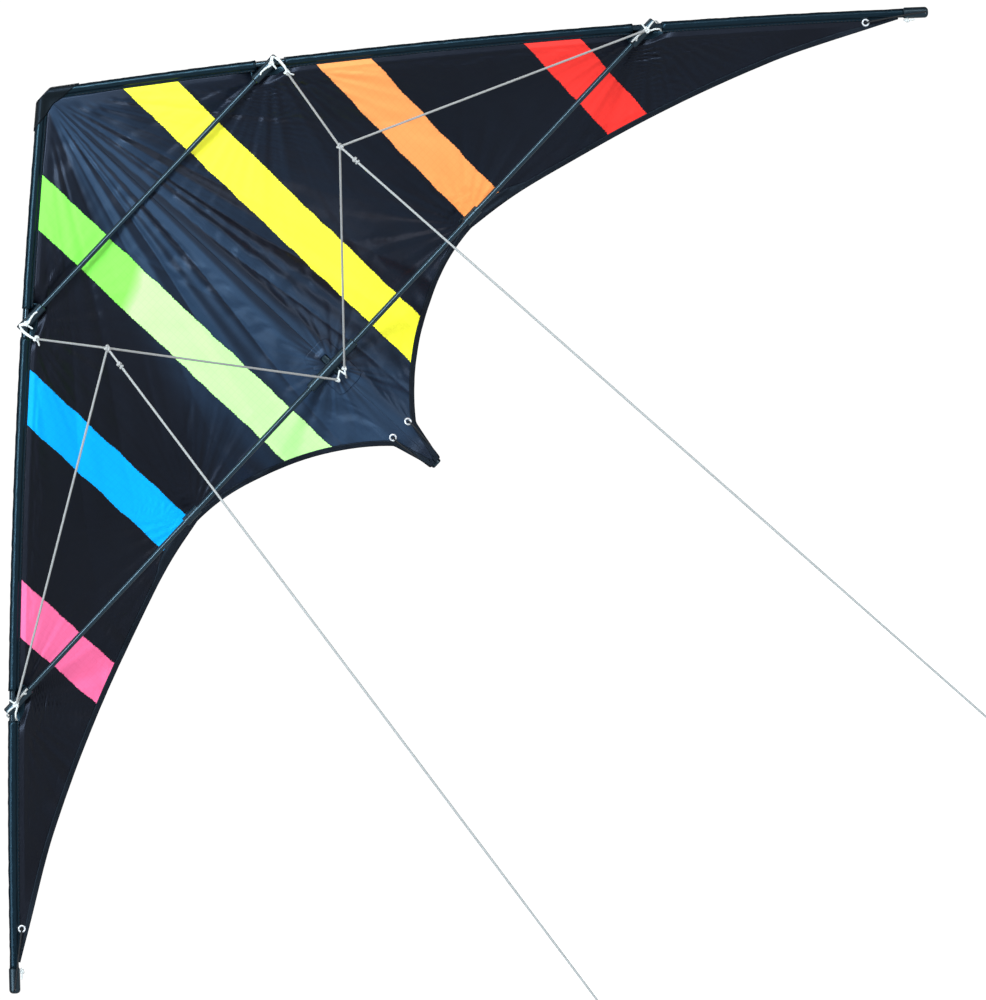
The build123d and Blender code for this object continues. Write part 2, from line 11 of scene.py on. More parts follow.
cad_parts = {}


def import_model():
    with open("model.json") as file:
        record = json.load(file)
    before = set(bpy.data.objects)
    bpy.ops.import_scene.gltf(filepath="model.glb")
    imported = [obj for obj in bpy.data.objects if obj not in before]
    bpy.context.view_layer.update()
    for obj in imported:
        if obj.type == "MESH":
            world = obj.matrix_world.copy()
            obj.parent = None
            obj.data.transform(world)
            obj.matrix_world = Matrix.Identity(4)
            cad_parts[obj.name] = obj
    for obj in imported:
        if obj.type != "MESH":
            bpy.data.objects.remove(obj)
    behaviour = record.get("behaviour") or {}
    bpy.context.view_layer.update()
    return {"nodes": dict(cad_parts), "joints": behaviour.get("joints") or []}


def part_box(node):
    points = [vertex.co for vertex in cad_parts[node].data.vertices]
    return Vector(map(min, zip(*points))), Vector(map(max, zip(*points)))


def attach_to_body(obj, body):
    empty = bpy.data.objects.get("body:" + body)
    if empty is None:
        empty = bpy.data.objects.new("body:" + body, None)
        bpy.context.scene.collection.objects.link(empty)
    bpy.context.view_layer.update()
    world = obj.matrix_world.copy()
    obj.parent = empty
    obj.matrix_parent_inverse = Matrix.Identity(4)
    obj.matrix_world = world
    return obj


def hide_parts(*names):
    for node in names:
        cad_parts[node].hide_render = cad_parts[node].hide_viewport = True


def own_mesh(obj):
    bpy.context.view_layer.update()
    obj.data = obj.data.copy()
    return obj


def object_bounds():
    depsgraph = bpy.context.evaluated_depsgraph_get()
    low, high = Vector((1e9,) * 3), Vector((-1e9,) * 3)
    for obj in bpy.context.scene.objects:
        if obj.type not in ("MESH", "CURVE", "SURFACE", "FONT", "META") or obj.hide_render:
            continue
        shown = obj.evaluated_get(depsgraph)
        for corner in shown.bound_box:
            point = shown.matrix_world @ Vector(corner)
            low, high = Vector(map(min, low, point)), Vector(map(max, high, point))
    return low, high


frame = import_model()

# Shapes are worked out in millimetres from the centre of the tee, then moved into the frame by world().
MM = 0.001


def box_centre(node):
    low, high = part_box(node)
    return (low + high) / 2


SPREADER = box_centre("lower_spreader_right")
TEE_Y, TEE_Z = SPREADER.y, SPREADER.z
SIDES = {"right": 1, "left": -1}

# ---------- sizes of the kite, the same as the frame's ----------
NOSE_AXIS_Z = 350.0
TIP_AXIS_Z = -177.0
HALF_SPAN = 600.0
EDGE_RADIUS = 7133.0
SLEEVE_DEPTH = 10.5
STANDOFF_X = 182.0
STANDOFF_DEPTH = 90.0
PANEL_END_X = 531.0
SAIL_END_X = 571.0
SLEEVE_START_X = 14.0
SLEEVE_END_X = 581.0
TRAIL_Z = -10.0
INNER_CURVE = 90.0
TAIL_EXTRA = 9.0
OUTER_SLOPE = 76.0
OUTER_CURVE = 85.0
SPINE_SEAM_Y = 5.4
SPINE_Y = 9.5
FLAT_HALF = 6.0
STRIPES = ((52.0, 89.5), (185.0, 222.5), (326.0, 363.5))
FITTING_R = 4.5
UPPER_Z = 222.0
OPENING_HALF = 3.6
OPENING = (-11.0, 11.0)
HEM = 5.0


def arc_centre():
    dx, dz = HALF_SPAN, TIP_AXIS_Z - NOSE_AXIS_Z
    chord = hypot(dx, dz)
    drop = sqrt(EDGE_RADIUS**2 - chord**2 / 4)
    return dx / 2 + dz / chord * drop, (NOSE_AXIS_Z + TIP_AXIS_Z) / 2 - dx / chord * drop


ARC_X, ARC_Z = arc_centre()


def edge_z(x, inward=0.0):
    """Height of the leading edge at x, moved inward from the rod's axis."""
    return ARC_Z + np.sqrt((EDGE_RADIUS - inward) ** 2 - (np.abs(x) - ARC_X) ** 2)


def edge_x(z):
    return ARC_X + sqrt(EDGE_RADIUS**2 - (z - ARC_Z) ** 2)


def edge_angle(x):
    return atan2(float(edge_z(x)) - ARC_Z, x - ARC_X)


CONNECTORS = ((edge_x(UPPER_Z), UPPER_Z), (edge_x(0.0), 0.0))

TRAIL_SWELLS = ((230.0, 45.0, 2.2), (108.0, 34.0, -1.5))  # x, half width and rise of small local changes
TIP_FULLNESS = 3.0  # how much lower the trailing edge runs near the tip
TONGUE_START = 16.0  # the tongue's root, the half width of its end, and the end's height
TONGUE_HALF = 5.4
TONGUE_END = -126.0
TONGUE_SLOPE = 4.0


def trail_z(x):
    """Height of the trailing edge at x; beside the spine it runs down in a tongue over the tail cap."""
    x = np.abs(np.asarray(x, float))
    inner = np.clip(1 - x / STANDOFF_X, 0, 1)
    outer = np.clip((x - STANDOFF_X) / (HALF_SPAN - STANDOFF_X), 0, 1)
    curve = TRAIL_Z - INNER_CURVE * inner**2 - TAIL_EXTRA * inner**12
    curve = curve - OUTER_SLOPE * outer - OUTER_CURVE * outer**2 - TIP_FULLNESS * smooth(x, 470, 550)
    for middle, reach, rise in TRAIL_SWELLS:
        curve = curve + rise * np.exp(-(((x - middle) / reach) ** 2))
    tongue = TONGUE_END + TONGUE_SLOPE * np.maximum(x - TONGUE_HALF, 0)
    return np.where(x < TONGUE_START, np.minimum(curve, tongue), curve)


def world(x, y, z):
    return Vector((x * MM, TEE_Y + y * MM, TEE_Z + z * MM))


# ---------- the sail's surface ----------
def smooth(value, low, high):
    s = np.clip((value - low) / (high - low), 0, 1)
    return s * s * (3 - 2 * s)


def ridge(u):
    """Sharp crests with round valleys between them, from -1 to 1."""
    return 1 - 2 * np.abs(np.sin(u)) ** 0.7


def waves(u, seed, terms=4):
    """Smooth one-dimensional noise with a period near 1."""
    draw = random.Random(seed)
    total = np.zeros_like(np.asarray(u, float))
    for k in range(terms):
        rate = 2 * pi * draw.uniform(0.6, 1.7) * (1 + 0.6 * k)
        total += np.sin(rate * u + draw.uniform(0, 6.28)) / (1 + k)
    return total / 1.6


def trail_depth(x):
    rise = np.clip((x - FLAT_HALF) / (STANDOFF_X - FLAT_HALF), 0, 1)
    fall = np.clip((x - STANDOFF_X) / (PANEL_END_X - STANDOFF_X), 0, 1)
    inner = np.sin(pi / 2 * rise) ** 1.2
    return STANDOFF_DEPTH * np.where(x < STANDOFF_X, inner, (1 - fall) * (1 + 0.35 * fall))


def rays(x, z, centre, seed, period, reach, height):
    """Tension folds that fan out from a point where the fabric is pulled."""
    dx, dz = x - centre[0], z - centre[1]
    distance = np.hypot(dx, dz) + 1e-6
    angle = np.degrees(np.arctan2(dx, -dz))
    fan = waves(angle / period, seed) + 0.6 * ridge(pi * angle / period + seed)
    return height * fan * smooth(distance, 4, 22) * np.exp(-((distance / reach) ** 1.5))


CREASES = {  # for each wing's sign, start x and z, end x and z, height: sharp lines left by packing the kite
    -1: (
        (95, 147, 165, 40, 1.1),
        (104, 72, 140, 46, 0.9),
        (60, 240, 12, 60, 0.5),
        (250, 60, 205, 10, 0.5),
    ),
    1: (
        (100, 262, 130, 180, 0.7),
        (118, 215, 168, 160, 0.9),
        (110, 120, 90, 40, 0.5),
        (240, 130, 300, 70, 0.5),
    ),
}
SEEDS = {1: 11, -1: 29}


def crease(x, z, line):
    x0, z0, x1, z1, height = line
    length = hypot(x1 - x0, z1 - z0)
    along = ((x - x0) * (x1 - x0) + (z - z0) * (z1 - z0)) / length
    across = ((x - x0) * (z1 - z0) - (z - z0) * (x1 - x0)) / length
    taper = smooth(along, 0, length * 0.3) * (1 - smooth(along, length * 0.7, length))
    return height * taper * (np.exp(-np.abs(across) / 2.2) - 0.5 * np.exp(-(((across - 5) / 4) ** 2)))


def nose_pleats(x, z, seed):
    """Folds gathered under the nose patch, which spread as they run down beside the spine."""
    from_nose = np.hypot(x, NOSE_AXIS_Z - z)
    angle = np.degrees(np.arctan2(x, NOSE_AXIS_Z - z))
    fan = 2.6 * ridge(pi * (angle + 1.0 * np.sin(from_nose / 75.0)) / 7.0 + seed)
    fan += 1.1 * waves(angle / 5.0, seed + 1, 3)
    near_spine = np.exp(-((angle / 17.0) ** 2)) + 0.4 * np.exp(-(((angle - 38.0) / 8.0) ** 2))
    return fan * near_spine * smooth(from_nose, 14, 70) * (1 - 0.7 * smooth(from_nose, 240, 420))


def folds(x, z, sign):
    """Folds and ripples of the fabric, in millimetres towards the back."""
    seed = SEEDS[sign]
    total = nose_pleats(x, z, seed)
    total += rays(x, z, CONNECTORS[0], seed + 3, 13.0, 95.0, 1.8 if sign > 0 else 1.2)
    total += rays(x, z, CONNECTORS[1], seed + 4, 14.0, 75.0, 1.1)
    total += rays(x, z, (STANDOFF_X, TRAIL_Z + 6), seed + 5, 14.0, 80.0, 0.9)
    total += rays(x, z, (0.0, 0.0), seed + 6, 24.0, 50.0, 0.6)
    lee = z - trail_z(x)
    total += 1.6 * waves(x / 64.0, seed + 7) * np.exp(-lee / 26.0) * smooth(x, 14, 60)
    total += 0.7 * waves((x + 0.4 * z) / 67.0, seed + 8, 2) * waves((z - 0.3 * x) / 97.0, seed + 9, 2)
    total += 0.14 * waves((x - z) / 27.0, seed + 10, 2) * waves((z + 0.5 * x) / 43.0, seed + 12, 2)
    head = np.maximum(edge_z(x, SLEEVE_DEPTH) - z, 0)
    total += 0.7 * waves(x / 9.0, seed + 13, 3) * np.exp(-head / 9.0) * smooth(head, 0, 4)
    for line in CREASES[sign]:
        total += crease(x, z, line)
    keep = smooth(head, 0, 14) * smooth(lee, -2, 3) ** 0.3
    return total * np.where(head < 14, keep, 1.0)


def painted_sheen_and_shade(x, z, sign):
    """Painted sheen and shade for the black fabric's colour, from 0 to 1: the sky it seems to catch, most
    beside the spine on the left wing.

    A fold is painted light on the slope that faces the left of the kite and painted dark on the other; the
    left wing is painted dark beyond the bright fan below the nose, and the tail is painted darker.
    """
    angle = np.degrees(np.arctan2(x, NOSE_AXIS_Z + 4 - z))
    slope = (folds(x + 1.0, z, sign) - folds(x - 1.0, z, sign)) / 2
    if sign > 0:
        broad = 0.14 + 0.42 * np.exp(-((x / 36.0) ** 2)) - 0.08 * smooth(x, 80, 200)
        slope = -slope
    else:
        broad = (0.66 + 0.16 * smooth(z, 200, 300)) * (1 - 0.85 * smooth(angle, 19, 25))
        broad = broad * (1 - 0.7 * smooth(x, 70, 120))
    low = np.exp(-(((x - 30.0) / 90.0) ** 2)) * (1 - smooth(z, -70, 20)) * smooth(z, -118, -80)
    tail = 1 - 0.65 * (1 - smooth(z, -112, -84))
    return np.clip((broad + 0.25 * low) * tail * (1.0 + 0.75 * np.tanh(3.2 * slope)), 0, 1.4)


def depth(x, z, sign):
    """Depth of the sail's middle at x and z on one wing."""
    x = np.abs(np.asarray(x, float))
    z = np.asarray(z, float)
    top = edge_z(x, SLEEVE_DEPTH)
    t = np.clip((top - z) / np.maximum(top - trail_z(x), 4.0), 0, 1)
    y = SPINE_SEAM_Y * (1 - (1 - t) ** 8) * np.maximum(1 - x / STANDOFF_X, 0)
    y = y + trail_depth(x) * (1.5 * t - 0.5 * t**2)
    tip = 1 - smooth(x, 420, 520)
    y = y + folds(x, z, sign) * smooth(x, 5.5, 16) * (0.25 + 0.75 * tip)
    y = y + slack_at(x, t, sign)
    y = y - 1.4 * np.exp(-((x / 3.6) ** 2)) * smooth(-z, 14, 40)
    y = y - 1.1 * np.exp(-((x / 5.0) ** 4)) * np.exp(-(((np.abs(z) - 12) / 4) ** 4))
    y = np.maximum(y, 5.0 * np.exp(-((z / 8.0) ** 4)) * (1 - smooth(x, 28, 36)))
    over_cap = (1 - smooth(z, -112, -97)) * (1 - smooth(x, 14, 22))
    cap_front = 3.3 - 0.9 * np.exp(-((x / 2.6) ** 2)) + 0.05 * np.maximum(x - 5, 0) ** 2
    y = y * (1 - over_cap) + over_cap * cap_front
    for cx, cz in CONNECTORS:
        behind = 6.4 * np.exp(-(((z - cz + 2) / 13.0) ** 4)) * np.exp(-(((x - cx + 9) / 22.0) ** 4))
        y = np.maximum(y, behind)
    return y


def grid_points(x, y, z, sign):
    return [world(sign * a, b, c) for a, b, c in zip(x.ravel(), y.ravel(), z.ravel())]


def on_sail(x, z, sign, offset=0.0):
    """A point on one wing, offset millimetres behind the middle of the sail."""
    return world(sign * x, float(depth(x, z, sign)) + offset, z)


# ---------- slack of the fabric, from a cloth simulation ----------
SLACK = {}
SLACK_END_X = 500.0
SLACK_COLUMNS = 100
SLACK_ROWS = 60
SLACK_FRAMES = 26
SLACK_LIMITS = (-1.6, 5.0)  # millimetres towards the front and towards the back
HEM_HOLD = 0.35  # how firmly the hem holds the fabric
HELD = [(*place, 26.0) for place in CONNECTORS] + [(STANDOFF_X, TRAIL_Z, 14.0), (0.0, 0.0, 34.0)]
FABRIC = {
    "quality": 6,
    "mass": 0.08,
    "tension_stiffness": 25.0,
    "compression_stiffness": 25.0,
    "shear_stiffness": 12.0,
    "bending_stiffness": 0.02,
    "air_damping": 4.0,
    "vertex_group_mass": "pins",
    "pin_stiffness": 5.0,
    "shrink_min": -0.012,
    "use_pressure": True,
    "uniform_pressure_force": 0.6,
}


def slack_grid():
    x = np.linspace(0, SLACK_END_X, SLACK_COLUMNS)[None, :].repeat(SLACK_ROWS, axis=0)
    t = np.linspace(0, 1, SLACK_ROWS)[:, None]
    z = edge_z(x, SLEEVE_DEPTH) * (1 - t) + trail_z(x) * t
    return x, z


def pin_weights(x, z):
    """1 where the fabric is sewn or held (spine, leading edge, connectors, standoff); less along the hem."""
    head, lee = edge_z(x, SLEEVE_DEPTH) - z, z - trail_z(x)
    weights = np.where((x < 12) | (head < 5) | (x > SLACK_END_X - 8), 1.0, 0.0)
    weights = np.where(lee < 4, np.maximum(weights, HEM_HOLD), weights)
    for cx, cz, radius in HELD:
        weights = np.where(np.hypot(x - cx, z - cz) < radius, 1.0, weights)
    return weights


def simulate_slack(sign):
    """Fabric cut a little too large settles under the wind; its change of depth is kept on a grid."""
    x, z = slack_grid()
    rest = depth(x, z, sign)
    faces = [face[::-1] for face in grid_faces(SLACK_ROWS, SLACK_COLUMNS)]
    obj = new_object("slack_cloth", grid_points(x, rest, z, 1), faces)
    group = obj.vertex_groups.new(name=FABRIC["vertex_group_mass"])
    for index, weight in enumerate(pin_weights(x, z).ravel()):
        if weight:
            group.add([index], float(weight), "REPLACE")
    cloth = obj.modifiers.new("cloth", "CLOTH")
    for key, value in FABRIC.items():
        setattr(cloth.settings, key, value)
    cloth.settings.effector_weights.gravity = 0.0
    cloth.collision_settings.use_collision = False
    cloth.point_cache.frame_end = SLACK_FRAMES
    scene = bpy.context.scene
    for step in range(1, SLACK_FRAMES + 1):
        scene.frame_set(step)
    settled = obj.evaluated_get(bpy.context.evaluated_depsgraph_get()).data
    depths = np.array([(v.co.y - TEE_Y) / MM for v in settled.vertices]).reshape(x.shape)
    scene.frame_set(1)
    mesh = obj.data
    bpy.data.objects.remove(obj)
    bpy.data.meshes.remove(mesh)
    SLACK[sign] = np.clip(depths - rest, *SLACK_LIMITS)


def slack_at(x, t, sign):
    """The simulated change of depth at x and at the share t of the way down the sail."""
    if sign not in SLACK:
        return 0.0
    grid = SLACK[sign]
    column = np.clip(x / SLACK_END_X, 0, 1) * (SLACK_COLUMNS - 1)
    row = np.clip(t, 0, 1) * (SLACK_ROWS - 1)
    i = np.minimum(row.astype(int), SLACK_ROWS - 2)
    j = np.minimum(column.astype(int), SLACK_COLUMNS - 2)
    a, b = row - i, column - j
    upper = grid[i, j] * (1 - b) + grid[i, j + 1] * b
    lower = grid[i + 1, j] * (1 - b) + grid[i + 1, j + 1] * b
    return upper * (1 - a) + lower * a


# ---------- mesh helpers ----------
def new_object(name, verts, faces, material=None, smooth_faces=True):
    mesh = bpy.data.meshes.new(name)
    mesh.from_pydata([tuple(v) for v in verts], [], faces)
    if material:
        mesh.materials.append(material)
    mesh.polygons.foreach_set("use_smooth", [smooth_faces] * len(mesh.polygons))
    mesh.update()
    obj = bpy.data.objects.new(name, mesh)
    bpy.context.scene.collection.objects.link(obj)
    return obj


def mend(obj, weld=0.0):
    """Drop points without a face, join doubled ones where asked, and turn the faces outward."""
    bm = bmesh.new()
    bm.from_mesh(obj.data)
    bmesh.ops.delete(bm, geom=[v for v in bm.verts if not v.link_faces], context="VERTS")
    if weld:
        bmesh.ops.remove_doubles(bm, verts=bm.verts, dist=weld)
    bmesh.ops.recalc_face_normals(bm, faces=bm.faces)
    bm.to_mesh(obj.data)
    bm.free()


def solid(name, mesh, material, weld=0.0):
    """A new object from vertices and faces, with its faces turned outward."""
    obj = new_object(name, *mesh, material)
    mend(obj, weld)
    return obj


def sheet(name, verts, faces, material, tone, thickness):
    """Fabric of one thickness, which carries at each point the painted sheen and shade that its black colour
    follows.
    """
    obj = new_object(name, verts, faces, material)
    obj.data.attributes.new(PAINTED_LIGHT_ATTRIBUTE, "FLOAT", "POINT").data.foreach_set("value", tone)
    mend(obj)
    thick = obj.modifiers.new("thickness", "SOLIDIFY")
    thick.thickness = thickness * MM
    thick.offset = 0.0
    return obj


REPLACED = set()


def attach(obj, node=None, body="frame"):
    """Fix a piece to a body; the first piece that names a frame node stands for it."""
    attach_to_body(obj, body)
    if node and node not in REPLACED:
        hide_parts(node)
        REPLACED.add(node)


def spread(start, end, count):
    """count + 1 evenly spaced values."""
    return [start + (end - start) * i / count for i in range(count + 1)]


def steps(start, end, step):
    """Values from start that stay below end."""
    values = []
    while start < end:
        values.append(start)
        start += step
    return values


def grid_faces(rows, columns, closed=False):
    """Quads of a grid whose vertices run row by row."""
    faces = []
    for i in range(rows - 1):
        for j in range(columns if closed else columns - 1):
            k = (j + 1) % columns
            faces.append((i * columns + j, i * columns + k, (i + 1) * columns + k, (i + 1) * columns + j))
    return faces


def tube_faces(rings, size):
    """Faces of a tube of rings, capped at both ends."""
    last = (rings - 1) * size
    caps = [tuple(range(size))[::-1], tuple(range(last, last + size))]
    return grid_faces(rings, size, closed=True) + caps


def shifted(faces, offset, flip=False):
    return [tuple(i + offset for i in (reversed(face) if flip else face)) for face in faces]


def joined(parts):
    """The vertices and faces of several meshes as one."""
    verts, faces = [], []
    for part_verts, part_faces in parts:
        faces += shifted(part_faces, len(verts))
        verts += part_verts
    return verts, faces


def moved(point, x, y, z):
    return point + Vector((x, y, z)) * MM


def turned_to(way):
    """Rotation that turns +Z to a direction."""
    return way.to_track_quat("Z", "Y").to_matrix()


# ---------- cords ----------
def frames_along(points):
    """Points with two directions across the path, turned as little as possible along it."""
    points = [Vector(p) for p in points]
    last = len(points) - 1
    ways = [(points[min(i + 1, last)] - points[max(i - 1, 0)]).normalized() for i in range(last + 1)]
    up = Vector((0, 0, 1)) if abs(ways[0].z) < 0.9 else Vector((1, 0, 0))
    side = ways[0].cross(up).normalized()
    frames = []
    for point, way in zip(points, ways):
        side = (side - way * side.dot(way)).normalized()
        frames.append((point, side, way.cross(side)))
    return frames


def rope_mesh(points, radius, strands=3, pitch=7.0, groove=0.16, sides=12):
    """Vertices and faces of a laid cord: strands wind round the path with the given pitch in millimetres."""
    frames = frames_along(points)
    verts, travelled = [], 0.0
    for i, (point, side, up) in enumerate(frames):
        if i:
            travelled += (point - frames[i - 1][0]).length / MM
        turn = 2 * pi * travelled / pitch
        end = min(i, len(frames) - 1 - i)
        scale = min(1.0, 0.55 + 0.45 * end)
        for j in range(sides):
            a = 2 * pi * j / sides
            r = radius * MM * scale * (1 - groove + groove * abs(cos(strands / 2 * (a - turn))) * 1.6)
            verts.append(point + (side * cos(a) + up * sin(a)) * r)
    return verts, tube_faces(len(frames), sides)


def resample(points, step):
    """The same path with points no more than step metres apart."""
    points = [Vector(p) for p in points]
    out = [points[0]]
    for a, b in zip(points, points[1:]):
        count = max(1, ceil((b - a).length / step))
        out += [a.lerp(b, k / count) for k in range(1, count + 1)]
    return out


def rounded(points, step=0.0006, passes=6):
    """A path with its corners eased."""
    path = resample(points, step)
    for _ in range(passes):
        inner = [(a + 2 * b + c) / 4 for a, b, c in zip(path, path[1:], path[2:])]
        path = [path[0]] + inner + [path[-1]]
    return path


def knot_path(centre, size, way):
    """A closed overhand-knot path, size millimetres across, lying across the direction way."""
    turn = turned_to(way)
    points = []
    for i in range(73):
        a = 2 * pi * i / 72
        x = sin(a) + 2 * sin(2 * a)
        y = cos(a) - 2 * cos(2 * a)
        z = -sin(3 * a)
        points.append(centre + turn @ Vector((x, y, z * 1.2)) * (size / 6) * MM)
    return points


def cord(name, paths, radius, material, **style):
    """One object made of a rope along each path."""
    return solid(name, joined(rope_mesh(path, radius, **style) for path in paths), material)


# ---------- materials ----------
PAINTED_LIGHT_ATTRIBUTE = "painted_sheen_and_shade"  # name of the mesh attribute that the black fabric's colour follows: its painted sheen and shade
THREAD_PITCH = 0.0006  # metres between the threads of the weave
GRID_PITCH = 0.005  # metres between the stronger threads of ripstop
GRID_THREAD = 0.0007


def connect(tree, socket, value):
    """Feed an input from another node's output, or give it a plain value."""
    if isinstance(value, bpy.types.NodeSocket):
        tree.links.new(value, socket)
    else:
        socket.default_value = value


def put(tree, node, values):
    """Set a node's inputs and properties by name."""
    for key, value in values.items():
        if key in node.inputs:
            connect(tree, node.inputs[key], value)
        else:
            setattr(node, key, value)
    return node


def add(tree, kind, **values):
    return put(tree, tree.nodes.new(kind), values)


def shader(name):
    material = bpy.data.materials.new(name)
    material.use_nodes = True
    tree = material.node_tree
    return material, tree, tree.nodes["Principled BSDF"]


def place(tree):
    """The object's own coordinates, in metres."""
    return add(tree, "ShaderNodeTexCoord").outputs["Object"]


def maths(tree, operation, *values):
    node = add(tree, "ShaderNodeMath", operation=operation)
    for socket, value in zip(node.inputs, values):
        connect(tree, socket, value)
    return node.outputs[0]


def noise(tree, vector, **values):
    return add(tree, "ShaderNodeTexNoise", Vector=vector, **values).outputs["Fac"]


def varied(tree, middle, factor, amount):
    """A value that changes by amount round its middle as a noise factor goes from 0 to 1."""
    return maths(tree, "ADD", maths(tree, "MULTIPLY", factor, amount), middle - amount / 2)


def mixed(tree, factor, first, second, blend_type="MIX"):
    """Two colours mixed; each is another node's output, or plain red, green and blue."""
    mix = add(tree, "ShaderNodeMix", data_type="RGBA", blend_type=blend_type)
    for index, value in ((0, factor), (6, first), (7, second)):
        connect(tree, mix.inputs[index], (*value, 1) if isinstance(value, tuple) else value)
    return mix.outputs[2]


def ramp(tree, factor, low, high, span=(0.0, 1.0)):
    """A colour that runs from low to high as the factor crosses the span."""
    node = add(tree, "ShaderNodeValToRGB", Fac=factor)
    for element, colour, position in zip(node.color_ramp.elements, (low, high), span):
        element.position = position
        element.color = (*colour, 1)
    return node.outputs[0]


def bumped(tree, height, strength, distance):
    return add(tree, "ShaderNodeBump", Height=height, Strength=strength, Distance=distance).outputs[0]


def thread_lines(tree, coordinate):
    """1 on the stronger threads that cross a coordinate."""
    scaled = maths(tree, "DIVIDE", coordinate, GRID_PITCH)
    return maths(tree, "LESS_THAN", maths(tree, "FRACT", scaled), GRID_THREAD / GRID_PITCH)


def weave_wave(tree, coordinate):
    return maths(tree, "SINE", maths(tree, "MULTIPLY", coordinate, 2 * pi / THREAD_PITCH))


def ripstop(name, colours, roughness, painted_glow=0.0, mottle=0.08, shine=None, gloss=0.5):
    """Coated ripstop: fine weave, a raised grid of stronger threads, soft colour change across the cloth.

    The colour changes from near to far with height, or with the painted sheen and shade stored on the mesh
    where colours has no heights.
    """
    material, tree, bsdf = shader(name)
    split = add(tree, "ShaderNodeSeparateXYZ", Vector=place(tree))
    across, down = split.outputs["X"], split.outputs["Z"]
    lines = maths(tree, "MAXIMUM", thread_lines(tree, across), thread_lines(tree, down))
    weave = maths(tree, "MULTIPLY", weave_wave(tree, across), weave_wave(tree, down))
    cloud = noise(tree, place(tree), Scale=7.0, Detail=3.0, Roughness=0.55)
    if len(colours) == 4:
        height = maths(tree, "ADD", down, varied(tree, 0.0, cloud, 0.16))
        heights = {"Value": height, "From Min": colours[0], "From Max": colours[1]}
        fade = add(tree, "ShaderNodeMapRange", **heights).outputs[0]
    else:
        # with no heights the colour follows the painted sheen and shade stored on the mesh
        fade = add(tree, "ShaderNodeAttribute", attribute_name=PAINTED_LIGHT_ATTRIBUTE).outputs["Fac"]
    tone = varied(tree, 1.0, cloud, mottle * 2)
    tone = maths(tree, "SUBTRACT", tone, maths(tree, "MULTIPLY", lines, 0.05))
    grey = add(tree, "ShaderNodeCombineColor", Red=tone, Green=tone, Blue=tone).outputs[0]
    colour = mixed(tree, 1.0, mixed(tree, fade, *colours[-2:]), grey, "MULTIPLY")
    height = maths(tree, "ADD", lines, maths(tree, "MULTIPLY", weave, 0.35))
    look = {
        "Base Color": colour,
        "Roughness": varied(tree, roughness, cloud, 0.12),
        "Specular IOR Level": gloss,
        "Normal": bumped(tree, height, 0.2, 0.0001),
    }
    if shine:
        look["Specular Tint"] = mixed(tree, fade, *shine)
    # painted glow: the fabric gives off light of its own, standing in for light shining through it
    if painted_glow:
        look.update({"Emission Color": colour, "Emission Strength": painted_glow})
    put(tree, bsdf, look)
    return material


def binding(name, colour, roughness=0.6):
    """Close-woven tape with a diagonal rib."""
    material, tree, bsdf = shader(name)
    rib = add(
        tree, "ShaderNodeTexWave", Vector=place(tree), Scale=420.0, Distortion=1.2, Detail=2.0,
        bands_direction="DIAGONAL",
    )
    dark, light = [c * 0.7 for c in colour], [min(c * 1.5 + 0.004, 1) for c in colour]
    put(tree, bsdf, {
        "Base Color": ramp(tree, noise(tree, place(tree), Scale=38.0, Detail=4.0), dark, light),
        "Roughness": roughness,
        "Specular Tint": (0.5, 0.72, 1.0, 1),
        "Specular IOR Level": 0.3,
        "Normal": bumped(tree, rib.outputs["Fac"], 0.3, 0.0002),
    })
    return material


def plain(
    name, colour, roughness, scale, grain_size=0.00005, metallic=0.0, contrast=0.25,
    shine=(1, 1, 1), gloss=0.5,
):
    """A solid colour broken by fine grain in tone, roughness and surface."""
    material, tree, bsdf = shader(name)
    grain = noise(tree, place(tree), Scale=scale, Detail=5.0, Roughness=0.6)
    dark, light = ([min(c * share, 1) for c in colour] for share in (1 - contrast, 1 + contrast))
    put(tree, bsdf, {
        "Base Color": ramp(tree, grain, dark, light, (0.3, 0.7)),
        "Roughness": varied(tree, roughness, grain, 0.16),
        "Metallic": metallic,
        "Specular Tint": (*shine, 1),
        "Specular IOR Level": gloss,
        "Normal": bumped(tree, grain, 0.35, grain_size),
    })
    return material


def rod_material():
    """Pultruded glass fibre: black gloss with fine streaks along the rod."""
    material, tree, bsdf = shader("rod_black_gloss")
    stretch = add(tree, "ShaderNodeMapping", Vector=place(tree), Scale=(30.0, 900.0, 900.0))
    streak = noise(tree, stretch.outputs[0], Scale=1.0, Detail=4.0)
    put(tree, bsdf, {
        "Base Color": ramp(tree, streak, (0.004, 0.007, 0.011), (0.01, 0.02, 0.032)),
        "Roughness": 0.2,
        "Specular Tint": (0.55, 0.83, 1.0, 1),
        "Specular IOR Level": 1.0,
    })
    return material


def sail_range(low, high):
    return (TEE_Z + low * MM, TEE_Z + high * MM)


